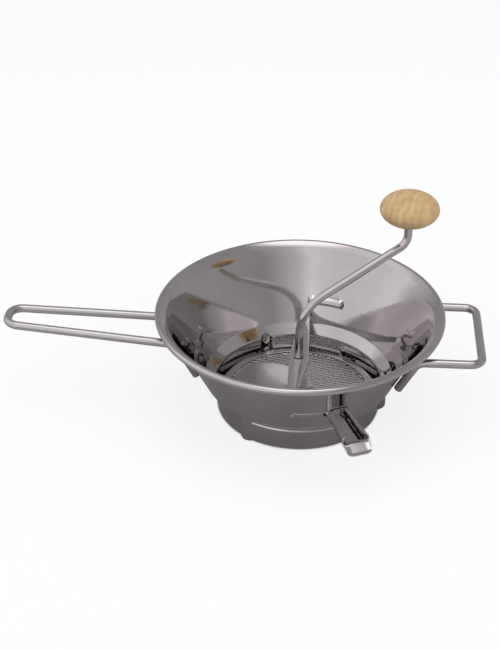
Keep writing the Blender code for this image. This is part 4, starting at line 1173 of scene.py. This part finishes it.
@dataclass
class Studio:
    """The floor, the lamps, the sky and the camera."""

    axis_x: float
    rim_z: float = 90.5 * MM
    elevation: float = 0.5643
    yaw: float = -0.069
    shift_x: float = 41.24 * MM
    shift_z: float = 11.335 * MM
    distance: float = 1157.8 * MM
    focal: float = 1397.9
    picture_height: float = 650.0
    sensor: float = 36.0

    def camera(self) -> None:
        """Place the camera at the photograph's viewing angle."""
        s, c = math.sin(self.elevation), math.cos(self.elevation)
        turn = Matrix.Rotation(-self.yaw, 4, "Z")
        place = turn @ Vector((-self.shift_x, -self.shift_z * s - self.distance * c,
                               -self.shift_z * c + self.distance * s))
        right, up, back = Vector((1, 0, 0)), Vector((0, s, c)), Vector((0, -c, s))
        pose = turn @ Matrix((right, up, back)).transposed().to_4x4()
        pose.translation = place + Vector((self.axis_x, 0.0, self.rim_z))
        data = bpy.data.cameras.new("camera")
        data.sensor_width = self.sensor
        data.lens = self.focal * self.sensor / self.picture_height
        data.clip_start = 0.05
        item = bpy.data.objects.new("camera", data)
        bpy.context.scene.collection.objects.link(item)
        item.matrix_world = pose
        bpy.context.scene.camera = item

    @staticmethod
    def lamp(name: str, place: tuple[float, float, float], size: tuple[float, float], power: float,
             mirrored: bool) -> None:
        """Hang one soft lamp that faces the mill, and say whether steel mirrors it."""
        data = bpy.data.lights.new(name, "AREA")
        data.shape = "RECTANGLE"
        data.size, data.size_y = size
        data.energy = power
        item = bpy.data.objects.new(name, data)
        bpy.context.scene.collection.objects.link(item)
        item.visible_glossy = mirrored
        item.location = place
        item.rotation_euler = (Vector((0, 0, 0.06)) - Vector(place)).to_track_quat("-Z", "Y").to_euler()

    def floor(self) -> None:
        """Lay the pale floor under the mill's foot."""
        bm = bmesh.new()
        bmesh.ops.create_grid(bm, x_segments=8, y_segments=8, size=3.0,
                              matrix=Matrix.Translation((0.0, 0.0, -0.0002)))
        mesh = bpy.data.meshes.new("studio_floor")
        bm.to_mesh(mesh)
        bm.free()
        item = bpy.data.objects.new("studio_floor", mesh)
        bpy.context.scene.collection.objects.link(item)
        # The third colour is the floor's darker grey for glossy rays: painted shade for its shadow under the bowl, as
        # the steel reflects it.
        paint = PaleFloor("pale_floor", (0.90, 0.90, 0.90), 0.80, (0.44, 0.415, 0.425), self.axis_x)
        mesh.materials.append(paint.make())

    @staticmethod
    def sky() -> None:
        """Light the room evenly, with a pale ground for the camera and a grey room with a bright ceiling for gloss."""
        world = bpy.data.worlds.new("studio")
        bpy.context.scene.world = world
        web = Nodes(world, "ShaderNodeOutputWorld")
        even = web.add("ShaderNodeBackground", Color=(0.97, 0.98, 1.0, 1.0), Strength=0.62)
        plain = web.add("ShaderNodeBackground")
        room = web.add("ShaderNodeBackground")
        path = web.add("ShaderNodeLightPath")
        heading = web.add("ShaderNodeTexCoord").outputs["Generated"]
        slope = web.add("ShaderNodeVectorMath", operation="DOT_PRODUCT")
        slope.inputs[1].default_value = (-0.35, -0.225, 0.275)
        web.wire(heading, slope.inputs[0])
        levels = ((0.2, 0.38), (0.6, 0.34), (0.80, 0.64), (0.87, 0.95), (1.0, 0.80))
        walls = web.ramp(web.maths("ADD", slope.outputs["Value"], 0.5),
                         [(place, (level, 0.96 * level, 0.97 * level, 1.0)) for place, level in levels])
        split = web.add("ShaderNodeSeparateXYZ")
        web.wire(heading, split.inputs["Vector"])
        zenith = web.add("ShaderNodeMapRange", interpolation_type="SMOOTHSTEP", From_Min=0.925, From_Max=0.985)
        web.wire(split.outputs["Z"], zenith.inputs["Value"])
        ceiling = web.add("ShaderNodeMix", data_type="RGBA")
        web.wire(zenith.outputs["Result"], ceiling.inputs["Factor"])
        web.wire(walls, ceiling.inputs["A"])
        ceiling.inputs["B"].default_value = (1.7, 1.68, 1.68, 1.0)
        web.wire(ceiling.outputs["Result"], room.inputs["Color"])
        direct = web.maths("MAXIMUM", path.outputs["Is Camera Ray"], path.outputs["Is Transmission Ray"])
        lit = even.outputs["Background"]
        for test, other in ((path.outputs["Is Glossy Ray"], room), (direct, plain)):
            mix = web.add("ShaderNodeMixShader")
            web.wire(test, mix.inputs["Fac"])
            web.wire(lit, mix.inputs[1])
            web.wire(other.outputs["Background"], mix.inputs[2])
            lit = mix.outputs["Shader"]
        web.wire(lit, web.output.inputs["Surface"])

    def build(self) -> None:
        """Set up the whole studio."""
        self.camera()
        self.floor()
        self.sky()
        self.lamp("overhead_lamp", (0.0, 0.0, 1.6), (1.1, 1.1), 8.5, False)
        self.lamp("left_lamp", (-1.3, -0.9, 1.0), (0.9, 0.9), 7.0, False)
        self.lamp("right_lamp", (1.3, -0.6, 1.1), (0.9, 0.9), 6.0, False)
        bpy.context.scene.view_settings.view_transform = "Standard"


def finishes(axis_x: float) -> dict[str, bpy.types.Material]:
    """Make every finish of the mill.

    Args:
        axis_x: where the bowl's axis stands, for marks that run round it.

    Returns:
        The materials by name.
    """
    steels = [
        Steel("mirror_steel", (0.61, 0.585, 0.59), 0.06, 0.02, (2600.0, 2600.0, 1.2), 0.000004, 0.00009, True, axis_x),
        Steel("disc_steel", (0.62, 0.60, 0.60), 0.16, 0.05, (1800.0, 1800.0, 1.5), 0.000006, 0.0, True, axis_x),
        Steel("blade_steel", (0.55, 0.54, 0.54), 0.30, 0.06, (1400.0, 1400.0, 2.0), 0.000010, 0.0, True, axis_x),
        Steel("wire_steel", (0.64, 0.62, 0.61), 0.12, 0.05, (420.0, 420.0, 420.0), 0.000008),
        Steel("bar_steel", (0.60, 0.585, 0.59), 0.15, 0.05, (1100.0, 60.0, 600.0), 0.000008),
        Steel("satin_wire", (0.62, 0.61, 0.60), 0.24, 0.06, (60.0, 1500.0, 1500.0), 0.000012),
    ]
    made = {steel.name: steel.make() for steel in steels}
    wood = Beech("beech_wood", (0.60, 0.42, 0.22), (0.47, 0.30, 0.14), (0.30, 0.17, 0.07))
    made[wood.name] = wood.make()
    return made


def main() -> None:
    """Dress the mill and set up the studio."""
    logging.basicConfig(level=logging.INFO, format="%(message)s")
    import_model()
    low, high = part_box("bowl")
    axis_x = (low.x + high.x) / 2
    mould = Mould(axis_x, finishes(axis_x))
    for part in (Bowl(), WireHandles(), PotHooks(), Crossbar(), SieveDisc(), Blade(), Spring(), Crank()):
        part.build(mould)
    Studio(axis_x).build()


if __name__ == "__main__":
    main()
